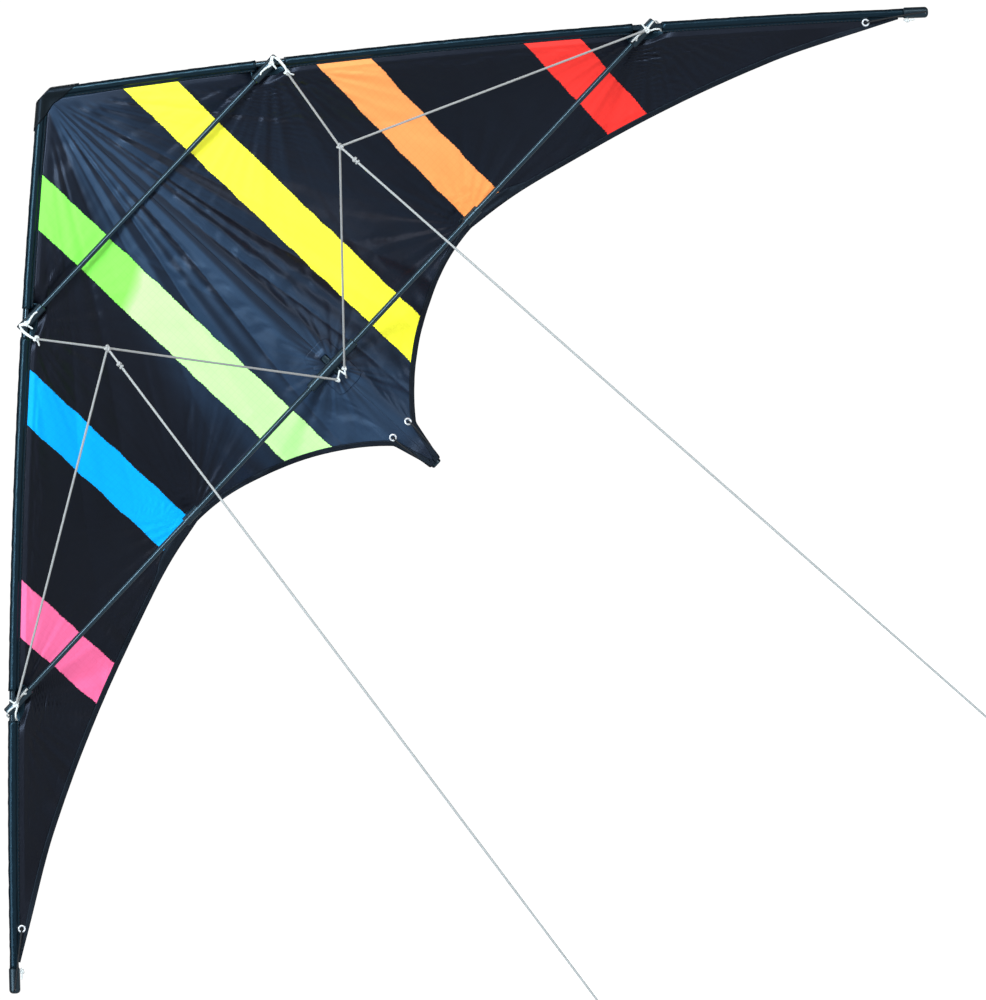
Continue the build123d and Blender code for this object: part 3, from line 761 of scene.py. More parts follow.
# The black fabric's own colour, then the navy of a painted sheen; the painted sheen and shade on the mesh
# mixes them.
BLACK_TO_PAINTED_SHEEN = ((0.0026, 0.0022, 0.0034), (0.026, 0.05, 0.095))
NAVY_SHINE = ((0.66, 0.74, 1.0), (0.45, 0.68, 1.0))
SLEEVE_BLACK = (0.002, 0.006, 0.01)
SLEEVE_SHINE = ((0.35, 0.7, 1.0), (0.4, 0.75, 0.95))
VINYL_SHINE = (0.55, 0.82, 1.0)
CORD_GRAIN = 1500.0
CORD_RELIEF = 0.0001
BLACK = ripstop("sail_black", BLACK_TO_PAINTED_SHEEN, 0.38, shine=NAVY_SHINE, gloss=0.4)
SLEEVE = ripstop("sleeve_black", (0.0, 0.6, SLEEVE_BLACK, SLEEVE_BLACK), 0.3, shine=SLEEVE_SHINE, gloss=0.6)
STRIPE_COLOURS = {
    "yellow": ((1.0, 0.98, 0.04), (1.0, 0.99, 0.06)),
    "orange": ((1.0, 0.31, 0.08), (1.0, 0.36, 0.11)),
    "red": ((0.92, 0.035, 0.028), (0.95, 0.045, 0.036)),
    # the green's first, paler colour is painted light on the stripe's lower part
    "green": ((0.56, 0.98, 0.36), (0.26, 0.92, 0.11)),
    "blue": ((0.0, 0.42, 0.95), (0.0, 0.4, 0.95)),
    "pink": ((1.0, 0.15, 0.34), (1.0, 0.17, 0.38)),
}
STRIPE_FADE = {"green": (184, 200)}  # heights between which a stripe's colour changes: the green is painted paler below, a painted light on its lower part
USUAL_FADE = (-60, 60)
BINDING = binding("binding_black", (0.005, 0.006, 0.009))
PATCH = binding("patch_black", (0.003, 0.0045, 0.005), 0.42)
ROD = rod_material()
VINYL = plain("soft_vinyl_black", (0.006, 0.011, 0.016), 0.3, 600.0, shine=VINYL_SHINE, gloss=1.0)
WHITE_CORD = plain("cord_white", (0.85, 0.86, 0.84), 0.75, CORD_GRAIN, CORD_RELIEF, contrast=0.1)
GREY_CORD = plain("cord_grey", (0.5, 0.49, 0.48), 0.75, CORD_GRAIN, CORD_RELIEF, contrast=0.12)
LINE_CORD = plain("line_grey", (0.47, 0.47, 0.46), 0.7, CORD_GRAIN, CORD_RELIEF, contrast=0.1)
BLACK_CORD = plain("cord_black", (0.008, 0.009, 0.012), 0.7, CORD_GRAIN, CORD_RELIEF)
NICKEL = plain("eyelet_nickel", (0.9, 0.9, 0.92), 0.4, 500.0, 0.00003, metallic=0.45, contrast=0.05)
BRASS = plain("ferrule_brass", (0.7, 0.52, 0.22), 0.3, 400.0, metallic=1.0)
THREAD = plain("thread_black", (0.02, 0.02, 0.025), 0.65, 2000.0)


# ---------- sail ----------
COLUMN_STEP = 2.4
FINE_STEP = 1.2
ROWS = 170
FABRIC_THICK = 0.3
PATCH_THICK = 0.45
FOLD_WIDTH = 1.1  # from a seam to the edge of its folded fabric
FOLD_LIFT = 0.35
PANELS = ("inner_panel", "second_panel", "third_panel", "tip_panel")
STRIPE_NAMES = {"right": ("yellow", "orange", "red"), "left": ("green", "blue", "pink")}


def seam_x(seam, z):
    """Where a sewn seam really runs: nearly straight, with the small wander of hand-guided sewing."""
    z = np.asarray(z, float)
    if seam <= 0 or seam >= PANEL_END_X:
        return np.full_like(z, seam)
    return seam + 0.55 * waves(z / 70.0, int(seam)) + 0.2 * waves(z / 16.0, int(seam) + 1)


def panel_columns(start, end):
    """x positions across a panel, with close ones at its seams for the raised edge."""
    count = max(2, round((end - start) / (FINE_STEP if start == 0 else COLUMN_STEP)))
    return np.array(sorted(set(spread(start, end, count) + [start + FOLD_WIDTH, end - FOLD_WIDTH])))


def panel_mesh(start, end, sign):
    columns = panel_columns(start, end)
    top = edge_z(columns, 5.6 - 3.6 * smooth(columns, 540, 556))
    low = np.minimum(trail_z(columns) + 2.0 + 0.95 * hem_swell(columns), top - 2.0)
    t = np.linspace(0, 1, ROWS)[:, None]
    z = top[None, :] * (1 - t) + low[None, :] * t
    share = ((columns - start) / (end - start))[None, :]
    x = np.repeat(columns[None, :], ROWS, axis=0)
    x = x + (seam_x(start, z) - start) * (1 - share) + (seam_x(end, z) - end) * share
    seam = np.minimum(np.abs(columns - start), np.abs(columns - end))
    lift = np.where((seam < 1.0) & (columns > 1) & (columns < PANEL_END_X - 1), FOLD_LIFT, 0.0)
    y = depth(x, z, sign) - lift[None, :] * smooth(edge_z(x, SLEEVE_DEPTH) - z, 0, 6)
    faces = grid_faces(ROWS, len(columns))
    if start == 0:
        faces = [f for f in faces if not in_opening(x.ravel()[list(f)].mean(), z.ravel()[list(f)].mean())]
    # each point also carries the painted sheen and shade for the black fabric's colour
    return grid_points(x, y, z, sign), faces, painted_sheen_and_shade(x, z, sign).ravel()


def in_opening(x, z):
    return abs(x) < OPENING_HALF and OPENING[0] < z < OPENING[1]


def build_sail():
    bounds = [0.0] + [x for stripe in STRIPES for x in stripe] + [SAIL_END_X]
    for side, sign in SIDES.items():
        for k, (start, end) in enumerate(zip(bounds, bounds[1:])):
            if k % 2:
                colour = STRIPE_NAMES[side][k // 2]
                node, slot = f"stripe_{colour}", f"{colour}_fabric"
                colours = (*sail_range(*STRIPE_FADE.get(colour, USUAL_FADE)), *STRIPE_COLOURS[colour])
                # the stripes have a little painted glow, which stands in for light shining through them
                material = ripstop("sail_" + node, colours, 0.55, painted_glow=0.3, mottle=0.05, gloss=0.15)
            else:
                node, slot, material = f"{PANELS[k // 2]}_{side}", "black_sail", BLACK
            verts, faces, tone = panel_mesh(start, end, sign)
            attach(sheet("cloth_" + node, verts, faces, material, tone, FABRIC_THICK), node)


# ---------- leading-edge sleeves ----------
GAP_NOSE = 10.5  # from a connector to the end of the sleeve's front on the nose side
GAP_TIP = 9.0
SLEEVE_R = 3.85  # outside of the fabric round the rod
SEAM_REACH = 6.0
SEAM_LEAST = 3.7
SEAM_HALF = 0.3
SLEEVE_INSIDE = 0.86  # size of the fabric's inside, as a share of its outside


def edge_point(x, radial, y, sign):
    """A point across the leading edge at x: radial is outward from the rod's axis."""
    a = edge_angle(x)
    return world(sign * (x + radial * cos(a)), y, float(edge_z(x)) + radial * sin(a))


def seam_depth(x):
    """How far the sewn edge of the sleeve reaches inward at x: less beside a connector and at the tip."""
    reach = SEAM_REACH - (SEAM_REACH - SEAM_LEAST) * float(smooth(x, 568, 578))
    for cx, _ in CONNECTORS:
        if x < cx:
            a = edge_angle(cx)
            drop = (cx - x) / sin(a) * cos(a) - FITTING_R - 0.5
            reach = min(reach, max(SEAM_LEAST, drop / sin(a)))
    return reach


def sleeve_outline(radius, seam, sides=18):
    """Keyhole outline of the folded fabric: in along the front seam, round the rod, out along the back."""
    gape = asin(min(SEAM_HALF / radius, 1)) * 1.4
    points = [(-seam, -SEAM_HALF), (-(seam + radius) / 2, -SEAM_HALF * 1.05)]
    for i in range(sides + 1):
        a = pi + gape + (2 * pi - 2 * gape) * i / sides
        points.append((radius * cos(a), radius * sin(a)))
    return points + [(-(seam + radius) / 2, SEAM_HALF * 1.05), (-seam, SEAM_HALF)]


def tube_between(outlines, sign, xs):
    """Hollow fabric tube from outer outlines, with walls turned in at both ends."""
    verts, count = [], len(outlines[0])
    for x, outline in zip(xs, outlines):
        verts += [edge_point(x, r, y, sign) for r, y in outline]
        inside = [(r * SLEEVE_INSIDE if r > -4 else r + 0.1, y * SLEEVE_INSIDE) for r, y in outline]
        verts += [edge_point(x, r, y, sign) for r, y in inside]
    faces, stride = [], 2 * count
    for i in range(len(xs) - 1):
        a, b = i * stride, (i + 1) * stride
        for j in range(count - 1):
            faces.append((a + j, a + j + 1, b + j + 1, b + j))
            faces.append((a + count + j, b + count + j, b + count + j + 1, a + count + j + 1))
        faces.append((a, b, b + count, a + count))
        last = count - 1
        faces.append((a + last, a + count + last, b + count + last, b + last))
    for base in (0, (len(xs) - 1) * stride):
        for j in range(count - 1):
            faces.append((base + j, base + j + 1, base + count + j + 1, base + count + j))
    return verts, faces


def sleeve_length(start, end, seed, sign):
    """One length of sleeve, slightly uneven and flared at its ends."""
    xs = spread(start, end, max(8, round((end - start) / COLUMN_STEP)))
    outlines = []
    for x in xs:
        puff = SLEEVE_R + 0.15 * float(waves(x / 21.0, seed)) + 0.1 * float(waves(x / 6.0, 9 + sign))
        puff += 0.25 * exp(-min(x - start, end - x) / 3.0)
        outlines.append(sleeve_outline(puff, seam_depth(x)))
    return tube_between(outlines, sign, xs)


def gap_backing(cx, sign):
    """The sleeve's back layer, which runs on behind a connector where the front is cut away."""
    rows, columns, thick = 22, 9, 0.5
    xs = spread(cx - GAP_NOSE - 4, cx + GAP_TIP + 4, rows - 1)
    layers = []
    for shift in (0.0, thick):
        for i, x in enumerate(xs):
            bulge = sin(pi * i / (rows - 1)) ** 0.6
            for j in range(columns):
                radial = -SLEEVE_DEPTH + (SLEEVE_DEPTH + 3.2) * j / (columns - 1)
                round_rod = sqrt(max(1 - (min(abs(radial) / 3.7, 1)) ** 2, 0)) * 3.0
                base = max(round_rod, 0.4) if radial > -4 else 0.5
                y = base * (1 - bulge) + (5.1 + 0.4 * cos(j)) * bulge + shift
                layers.append(edge_point(x, radial, y, sign))
    faces, size = grid_faces(rows, columns), rows * columns
    faces += shifted(faces, size, flip=True)
    rim = list(range(columns)) + [r * columns + columns - 1 for r in range(1, rows)]
    rim += [(rows - 1) * columns + c for c in range(columns - 2, -1, -1)]
    rim += [r * columns for r in range(rows - 2, 0, -1)]
    faces += [(a, b, b + size, a + size) for a, b in zip(rim, rim[1:] + rim[:1])]
    return layers, faces


def build_sleeves():
    starts = [SLEEVE_START_X] + [cx + GAP_TIP for cx, _ in CONNECTORS]
    ends = [cx - GAP_NOSE for cx, _ in CONNECTORS] + [SLEEVE_END_X]
    for side, sign in SIDES.items():
        parts = [sleeve_length(*span, 5 + sign + k, sign) for k, span in enumerate(zip(starts, ends))]
        parts += [gap_backing(cx, sign) for cx, _ in CONNECTORS]
        attach(solid(f"sleeve_{side}", joined(parts), SLEEVE), f"leading_edge_sleeve_{side}")


# ---------- hems, patches and seams ----------
def trail_frame(x):
    """A point on the trailing edge and the inward direction across it, in the sail's plan."""
    step = 0.5
    x = max(x, step)
    slope = float(trail_z(x + step) - trail_z(x - step)) / (2 * step)
    length = hypot(1, slope)
    return (x, float(trail_z(x))), (-slope / length, 1 / length)


def inside_trail(x, inward, sign, offset):
    """A point in from the trailing edge at x, offset millimetres behind the middle of the sail."""
    (px, pz), (nx, nz) = trail_frame(x)
    return on_sail(max(px + nx * inward, 0.0), pz + nz * inward, sign, offset)


def hem_swell(x):
    """Extra width of the hem where it is doubled beside the standoff."""
    return 6.0 * np.exp(-(((x - 206) / 31) ** 4))


def hem_outline(x, sign):
    """Distance in from the trailing edge and depth of each point round the folded hem at x."""
    swell = float(hem_swell(x))
    width = HEM * (1 - 0.55 * float(smooth(x, 530, SAIL_END_X))) + swell
    bead = 0.12 * float(waves(x / 5.0, 3 + sign)) + 0.1 * swell
    line = width - 1.3
    across = [0.35 + (line - 0.75) * k / 5 for k in range(6)]
    front = [(0.0, 0.0)] + [(inward, -0.82 - bead) for inward in across] + [(line, -0.98), (width, -0.6)]
    return front + [(width, 0.5), (line, 0.8)] + [(inward, 0.7 + bead) for inward in reversed(across)]


def build_hems():
    near = steps(0.0, 60.0, 1.0)
    xs = near + steps(near[-1] + 1.0, SAIL_END_X + 4, COLUMN_STEP)
    for side, sign in SIDES.items():
        verts = [inside_trail(x, inward, sign, y) for x in xs for inward, y in hem_outline(x, sign)]
        hem = solid(f"hem_{side}", (verts, tube_faces(len(xs), len(verts) // len(xs))), BINDING)
        attach(hem, f"trailing_hem_{side}")


def patch_object(name, xs, tops, lows, rows, lift, material, skip=None):
    """A reinforcing patch that lies on the front of the sail."""
    verts, painted_light, sign = [], [], 1 if sum(xs) >= 0 else -1
    t = np.linspace(0, 1, rows)
    for x, top, low in zip(xs, tops, lows):
        z, out = top * (1 - t) + low * t, np.full(rows, abs(x))
        verts += [world(x, b, c) for b, c in zip(depth(out, z, sign) - lift, z)]
        # painted sheen and shade for the black fabric's colour at each point
        painted_light += list(painted_sheen_and_shade(out, z, 1 if x >= 0 else -1))
    faces = grid_faces(len(xs), rows)
    if skip:
        middle = [sum((verts[i] for i in f), Vector()) / 4 for f in faces]
        faces = [f for f, m in zip(faces, middle) if not skip(m.x / MM, (m.z - TEE_Z) / MM)]
    return sheet(name, verts, faces, material, painted_light, PATCH_THICK)


CENTRE_PATCH = (14.0, 23, -26)  # half width, top and bottom
STANDOFF_PATCH_R = 8.0


def build_patches():
    half, top, low = CENTRE_PATCH
    xs = [half * i / 20 for i in range(-20, 21)]
    round_off = [3 * (abs(x) / half) ** 4 for x in xs]
    tops, lows = [top - drop for drop in round_off], [low + drop for drop in round_off]
    patch = patch_object("centre_reinforcement", xs, tops, lows, 56, 0.4, BLACK, in_opening)
    attach(patch, "centre_patch")
    shares = [cos(pi * (1 - i / 24)) * 0.99 for i in range(25)]
    for side, sign in SIDES.items():
        xs = [sign * (STANDOFF_X + STANDOFF_PATCH_R * s) for s in shares]
        lows = [float(trail_z(x)) + 2.0 for x in xs]
        tops = [low + 3.2 + STANDOFF_PATCH_R * sqrt(1 - s * s) for low, s in zip(lows, shares)]
        patch = patch_object(f"standoff_reinforcement_{side}", xs, tops, lows, 16, 0.45, PATCH)
        attach(patch, "standoff_patches")


STITCH_PITCH = 3.4
STITCH_LENGTH = 2.3
STITCH_SWING = 0.5  # half width of a seam's zigzag
SLEEVE_STITCH = 0.75  # size of the sleeve's stitches, as a share of the sail's


def stitch_mesh(start, end, sides=5):
    """One little sewn stitch from start to end."""
    way = (end - start).normalized()
    side = way.cross(Vector((0, 1, 0))).normalized()
    out = side.cross(way)
    verts = []
    for share, size in ((0.0, 0.35), (0.25, 1.0), (0.75, 1.0), (1.0, 0.35)):
        for k in range(sides):
            a = 2 * pi * k / sides
            verts.append(start.lerp(end, share) + (side * cos(a) * 0.26 + out * sin(a) * 0.2) * MM * size)
    return verts, tube_faces(4, sides)


def seam_stitches(seam, sign):
    """A zigzag up a seam of the sail."""
    low, high = float(trail_z(seam)) + HEM + 1, float(edge_z(seam, SLEEVE_DEPTH)) - 1
    rows = []
    for k, z in enumerate(steps(low, high - STITCH_LENGTH, STITCH_PITCH)):
        swing = -STITCH_SWING if k % 2 else STITCH_SWING
        ends = ((z, -swing), (z + STITCH_LENGTH, swing))
        rows.append([on_sail(float(seam_x(seam, h)) + shift, h, sign, -0.55) for h, shift in ends])
    return rows


def build_stitching():
    for side, sign in SIDES.items():
        stitches = []
        for seam in [x for stripe in STRIPES for x in stripe]:
            stitches += seam_stitches(seam, sign)
        for x in steps(14.0, PANEL_END_X - 4, STITCH_PITCH):
            stitches.append([inside_trail(p, 3.8, sign, -0.62) for p in (x, x + STITCH_LENGTH)])
        for x in steps(SLEEVE_START_X + 8, SLEEVE_END_X - 14, STITCH_PITCH * SLEEVE_STITCH):
            if all(not cx - GAP_NOSE - 2 < x < cx + GAP_TIP for cx, _ in CONNECTORS):
                places = (x, x + STITCH_LENGTH * SLEEVE_STITCH)
                stitches.append([edge_point(p, -5.2, -0.4, sign) for p in places])
        mesh = joined(stitch_mesh(*ends) for ends in stitches)
        attach(solid(f"stitching_{side}", mesh, THREAD))


# ---------- nose patch and spine pocket ----------
NOSE_HALF = 9.0
NOSE_TOP = 349.0
NOSE_LENGTH = 27.0
NOSE_IN = (15.0, 15.6)  # x of the inner end of each arm and its depth below the chamfer
NOSE_MIDDLE = 12.6
NOSE_FOCUS = 7.0  # depth below the chamfer of the point that the patch's rings close in on
NOSE_LEVELS = (0, 0.015, 0.05, 0.1, 0.17, 0.25, 0.34, 0.44, 0.55, 0.67, 0.8, 0.93)


def nose_border():
    """Closely spaced points round the nose patch, with its corners slightly eased."""
    a = edge_angle(NOSE_HALF)
    outer = (NOSE_HALF + sin(a) * NOSE_LENGTH, NOSE_TOP - cos(a) * NOSE_LENGTH)
    inner = (NOSE_IN[0], NOSE_TOP - NOSE_IN[1])
    right = [(0.0, NOSE_TOP), (NOSE_HALF, NOSE_TOP), outer, inner, (0.0, NOSE_TOP - NOSE_MIDDLE)]
    loop = right + [(-x, z) for x, z in right[-2:0:-1]]
    border = []
    for (x0, z0), (x1, z1) in zip(loop, loop[1:] + loop[:1]):
        count = max(1, round(hypot(x1 - x0, z1 - z0) / 1.5))
        border += list(zip(spread(x0, x1, count), spread(z0, z1, count)))[:-1]
    neighbours = zip(border[-1:] + border[:-1], border, border[1:] + border[:1])
    return [tuple((a[k] + 2 * b[k] + c[k]) / 4 for k in range(2)) for a, b, c in neighbours]


def nose_depth(x, z, level, front):
    """Depth of the padded nose patch; the rods show through it as ridges."""
    off_edge = abs(hypot(abs(x) - ARC_X, z - ARC_Z) - EDGE_RADIUS)
    ridge_edge = exp(-((off_edge / 4.2) ** 2))
    ridge_spine = exp(-((x / 4.6) ** 2)) * float(smooth(NOSE_TOP - z, 6, 13))
    rim = sqrt(min(level / 0.12, 1))
    ripple = 0.25 * float(waves(x / 13.0, 4)) * float(waves(z / 9.0, 8))
    if front:
        return 1.0 - rim * (2.6 + 3.4 * ridge_edge + ripple)
    return 1.0 + rim * (3.0 + 9.6 * ridge_spine * (1 - ridge_edge) + 1.6 * ridge_edge + ripple)


def build_nose():
    border = nose_border()
    verts, size = [], len(border)
    for front in (True, False):
        for level in NOSE_LEVELS:
            for x, z in border:
                px = x - x * level
                pz = z + (NOSE_TOP - NOSE_FOCUS - z) * level
                verts.append(world(px, nose_depth(px, pz, level, front), pz))
    faces, layer = grid_faces(len(NOSE_LEVELS), size, closed=True), len(NOSE_LEVELS) * size
    faces += shifted(faces, layer, flip=True)
    faces += [tuple(range(layer - size, layer)), tuple(range(2 * layer - size, 2 * layer))[::-1]]
    attach(solid("nose_pocket", (verts, faces), PATCH, weld=0.00002), "nose_patch")


SPINE_POCKET_END = -107.0
SPINE_POCKET_R = 3.6
POCKET_SEAM = ((-6.2, -3.75), (-4.2, -3.3))  # x and y of its sewn edge on one side, from the spine's axis


def pocket_length(start, end):
    """One length of the fabric tube that holds the spine."""
    count = round((end - start) / 3.0)
    verts = []
    for z in spread(start, end, count):
        puff = SPINE_POCKET_R + 0.22 * float(waves(z / 24.0, 6)) + 0.1 * float(waves(z / 7.0, 7))
        angles = [radians(215 - 250 * k / 14) for k in range(15)]
        outer = [*POCKET_SEAM] + [(puff * cos(a), puff * sin(a)) for a in angles]
        outer += [(-x, y) for x, y in POCKET_SEAM[::-1]]
        inner = [(x * 0.88, y * 0.88 - 0.05) for x, y in reversed(outer)]
        verts += [world(x, SPINE_Y + y, z) for x, y in outer + inner]
    ring = len(outer + inner)
    faces = grid_faces(count + 1, ring, closed=True)
    for offset in (0, count * ring):
        for k in range(ring // 2 - 1):
            faces.append((offset + k, offset + k + 1, offset + ring - 2 - k, offset + ring - 1 - k))
    return verts, faces


def build_spine_pocket():
    """Fabric tube behind the sail, open where the tee grips the spine."""
    lengths = ((SPINE_POCKET_END, OPENING[0]), (OPENING[1], NOSE_TOP - NOSE_MIDDLE + 4))
    mesh = joined(pocket_length(*length) for length in lengths)
    attach(solid("spine_sleeve", mesh, BINDING), "spine_pocket")


# ---------- eyelets and tension cords ----------
TAIL_EYELET = (9.6, -83.5)
TIP_EYELET_X = 556.0
TIP_EYELET_IN = 7.3


def eyelet_frames(sign):
    """Centre and normal of the tail eyelet and the tip eyelet on one wing."""
    x, z = TAIL_EYELET
    slope_x = float(depth(x + 2, z, sign) - depth(x - 2, z, sign)) / 4
    slope_z = float(depth(x, z + 2, sign) - depth(x, z - 2, sign)) / 4
    tail_way = Vector((sign * slope_x, -1, slope_z)).normalized()
    tip = edge_point(TIP_EYELET_X, -TIP_EYELET_IN, 0, sign)
    return (on_sail(x, z, sign), tail_way), (tip, Vector((0, -1, 0)))


def lathe(profile, centre, way, sides=28):
    """A turned ring round an axis through centre."""
    turn, count = turned_to(way), len(profile)
    verts, faces = [], []
    for i in range(sides):
        a, n = 2 * pi * i / sides, (i + 1) % sides
        for j, (r, h) in enumerate(profile):
            verts.append(centre + turn @ Vector((r * cos(a), r * sin(a), h)) * MM)
            m = (j + 1) % count
            faces.append((i * count + j, i * count + m, n * count + m, n * count + j))
    return verts, faces


def eyelet_profile():
    """Half section of a rolled eyelet: a domed front flange, the neck and a flatter back flange."""
    angles = [pi * i / 8 for i in range(9)]
    front = [(2.7 + 0.8 * cos(a), 0.6 + 0.72 * sin(a)) for a in angles]
    back = [(2.7 + 0.8 * cos(a), -0.6 - 0.55 * sin(a)) for a in reversed(angles)]
    return front + [(1.8, 0.3), (1.75, -0.3)] + back + [(3.3, -0.45), (2.6, -0.4), (2.6, 0.4), (3.3, 0.45)]


def build_eyelets():
    for side, sign in SIDES.items():
        for where, frame_of in zip(("tail", "tip"), eyelet_frames(sign)):
            ring = solid(f"eyelet_{where}_{side}", lathe(eyelet_profile(), *frame_of), NICKEL)
            attach(ring, "eyelets")


TENSION_CORD = {"radius": 0.75, "pitch": 4.0}
TENSION_KNOT = 4.4
CAP_HOLE_Z = 3.0  # height of the hole above the tail cap's end
TAIL_CORD = ((10.0, 1.8, -92.0), (8.6, 2.3, -106.0), (6.6, 5.5, -120.5))  # from the tail eyelet to the cap
TIP_TIE = ((581.0, -6.0, 1.5), (583.0, -6.6, -1.0), (588.0, -6.3, -2.2))
BACKWARD = Vector((0, 1, 0))


def build_tension_cords():
    cap = box_centre("tail_cap")
    hole_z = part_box("tail_cap")[0].z + CAP_HOLE_Z * MM
    for side, sign in SIDES.items():
        (tail, tail_way), (tip, _) = eyelet_frames(sign)
        path = [tail - tail_way * 2.8 * MM, tail + tail_way * 2.3 * MM]
        path += [world(sign * x, y, z) for x, y, z in TAIL_CORD]
        path += [Vector((x, cap.y, hole_z)) for x in (sign * 5.9 * MM, 0)]
        tail_knot = knot_path(tail - tail_way * 3.0 * MM, TENSION_KNOT, tail_way)
        end = edge_point(HALF_SPAN - 5.6, 0, 0, sign)
        ahead = Vector((0, -6.3 * MM, 0))
        loop = [moved(tip, 0, 2.4, 0), moved(tip, 0, -2.6, 0), tip.lerp(end, 0.3) + ahead * 0.9]
        loop += [tip.lerp(end, 0.75) + ahead, end + ahead, end]
        tip_knot = knot_path(moved(tip, 0, 2.9, 0), TENSION_KNOT, BACKWARD)
        tie = [edge_point(x, radial, y, sign) for x, radial, y in TIP_TIE]
        cords = (
            (f"tail_cord_{side}", [rounded(path), tail_knot], BLACK_CORD),
            (f"tip_cord_{side}", [rounded(loop), tip_knot], BLACK_CORD),
            (f"tip_tie_{side}", [rounded(tie), knot_path(tie[1], 3.4, BACKWARD)], WHITE_CORD),
        )
        for name, paths, material in cords:
            attach(cord(name, paths, material=material, **TENSION_CORD), "tension_cords")


# ---------- bridle ----------
ANCHOR_Y = -6.9
CONNECTOR_FRONT = -FITTING_R - 1.5  # where a cord rests on the front of a connector
ANCHOR_KNOT = 5.0
LEG_STEP = 0.0009
UPPER_KNOT = (3.0, -16.0)  # from the connector to the knot that the outhaul's upper leg hangs from
LOWER_KNOT = (-4.0, -0.5)
CENTRE_N = ((-6.3, -5.6, -12.3), (0.9, -6.2, -7.5), (1.7, -5.8, -14.1), (5.2, -5.6, -9.5))
WRAP_R = 3.6  # cord round the spine below the tee
WRAP_Z = -17.0
BRIDLE_CORD = {"radius": 0.95, "material": GREY_CORD, "pitch": 6.0}


def edge_place(cx, along, inward, y, sign):
    """A point near a connector: along the leading edge towards the tip, and inward across it."""
    a = edge_angle(cx)
    x = cx + sin(a) * along - cos(a) * inward
    z = float(edge_z(cx)) - cos(a) * along - sin(a) * inward
    return world(sign * x, y, z)


def outhaul_knot(connector, shift, sign):
    """The knot beside a connector that an outhaul leg hangs from."""
    (cx, cz), (x, z) = connector, shift
    return world(sign * (cx + x), ANCHOR_Y, cz + z)


def upper_anchor(cx, cz, sign, draw):
    """Cord tied over the leading edge, from the connector on to the outhaul's knot."""
    knot = outhaul_knot((cx, cz), UPPER_KNOT, sign)
    end = world(sign * (cx - 15.0), -FITTING_R - 1.0, cz - 0.5)
    paths = []
    for k in (0, 1):
        start = world(sign * (cx - 12.5 + 3.0 * k), -FITTING_R - 0.9, cz + 0.8)
        route = ((-2.0 + 1.8 * k, 2.6, -FITTING_R - 1.6), (1.0 + k, -5.4, -5.6))
        route += ((7.0, -2.4 + 2.0 * k, -5.2), (11.5, 5.0 + 1.4 * k, -5.8))
        over = [edge_place(cx, along, inward, y, sign) for along, inward, y in route]
        paths.append(rounded([start if k else end, start] + over + [knot]))
    paths.append(knot_path(knot, ANCHOR_KNOT, Vector((sign * 0.3, -1, 0.4))))
    paths.append(rounded([knot, moved(knot, sign * 1.4, -0.6, -4.0), moved(knot, sign * 2.8, 0.4, -6.0)]))
    top = edge_place(cx, 0.0, 0.4, -FITTING_R - 2.0, sign)
    paths.append(knot_path(top, 4.0, Vector((sign * 0.2, -1, 0.3))))
    paths.append(rounded([top, moved(top, sign * -1.0, 0.2, -6.0 - draw.uniform(0.0, 1.5))]))
    return paths


def lower_anchor(cx, cz, sign, draw):
    """Cord looped round the leading edge beyond the connector, with its end lying along the connector."""
    knot = outhaul_knot((cx, cz), LOWER_KNOT, sign)
    route = ((-1.0, 1.6, -6.4), (3.5, -3.6, -4.9), (7.5, -5.2, 0.0), (11.0, -1.5, 4.6))
    route += ((11.8, 4.2, 1.6), (9.2, 2.8, -4.8), (4.5, 2.8, -6.2), (1.0, 4.0, -6.4))
    loop = [knot] + [edge_place(cx, along, inward, y, sign) for along, inward, y in route] + [knot]
    paths = [rounded(loop), knot_path(knot, ANCHOR_KNOT, Vector((sign * 0.4, -1, 0.2)))]
    middle = world(sign * (cx - 14.0), CONNECTOR_FRONT, cz + 1.6)
    for k in (0, 1):
        end = world(sign * (cx - 21.0 + 3.5 * k), CONNECTOR_FRONT, cz + draw.uniform(1.0, 2.0) - 2.5 * k)
        paths.append(rounded([knot, middle, end]))
    paths.append(rounded([knot, moved(knot, sign * 1.0, -0.4, 7.0)]))
    return paths


def centre_anchor():
    """Cord wound twice round the spine below the tee, brought forward and tied in a zigzag."""
    ring = []
    for i in range(81):
        a = 2 * pi * i / 40 + pi / 2
        wrap = (WRAP_R * cos(a), SPINE_Y - WRAP_R * sin(a), WRAP_Z + 1.8 * (i / 80 - 0.5))
        ring.append(world(*wrap))
    corners = [world(*corner) for corner in CENTRE_N]
    feed = rounded([world(0.6, SPINE_Y - WRAP_R, WRAP_Z), world(1.4, -1.0, -15.6), corners[2]])
    ties = ((corners[0], Vector((0.2, -1, 0))), (corners[3], Vector((0, -1, 0.2))))
    return [ring, feed, rounded(corners, passes=3)] + [knot_path(corner, 3.6, way) for corner, way in ties]


def build_anchor_knots():
    """White cord tied to each connector and round the spine below the tee."""
    draw = random.Random(5)
    cords = []
    for side, sign in SIDES.items():
        for level, tie, connector in zip(("upper", "lower"), (upper_anchor, lower_anchor), CONNECTORS):
            cords.append((f"{level}_{side}", tie(*connector, sign, draw), 0.8))
    cords.append(("centre", centre_anchor(), 0.75))
    for where, paths, radius in cords:
        obj = cord(f"anchor_knot_{where}", paths, radius, WHITE_CORD, pitch=4.5)
        attach(obj, "bridle_anchor_knots")


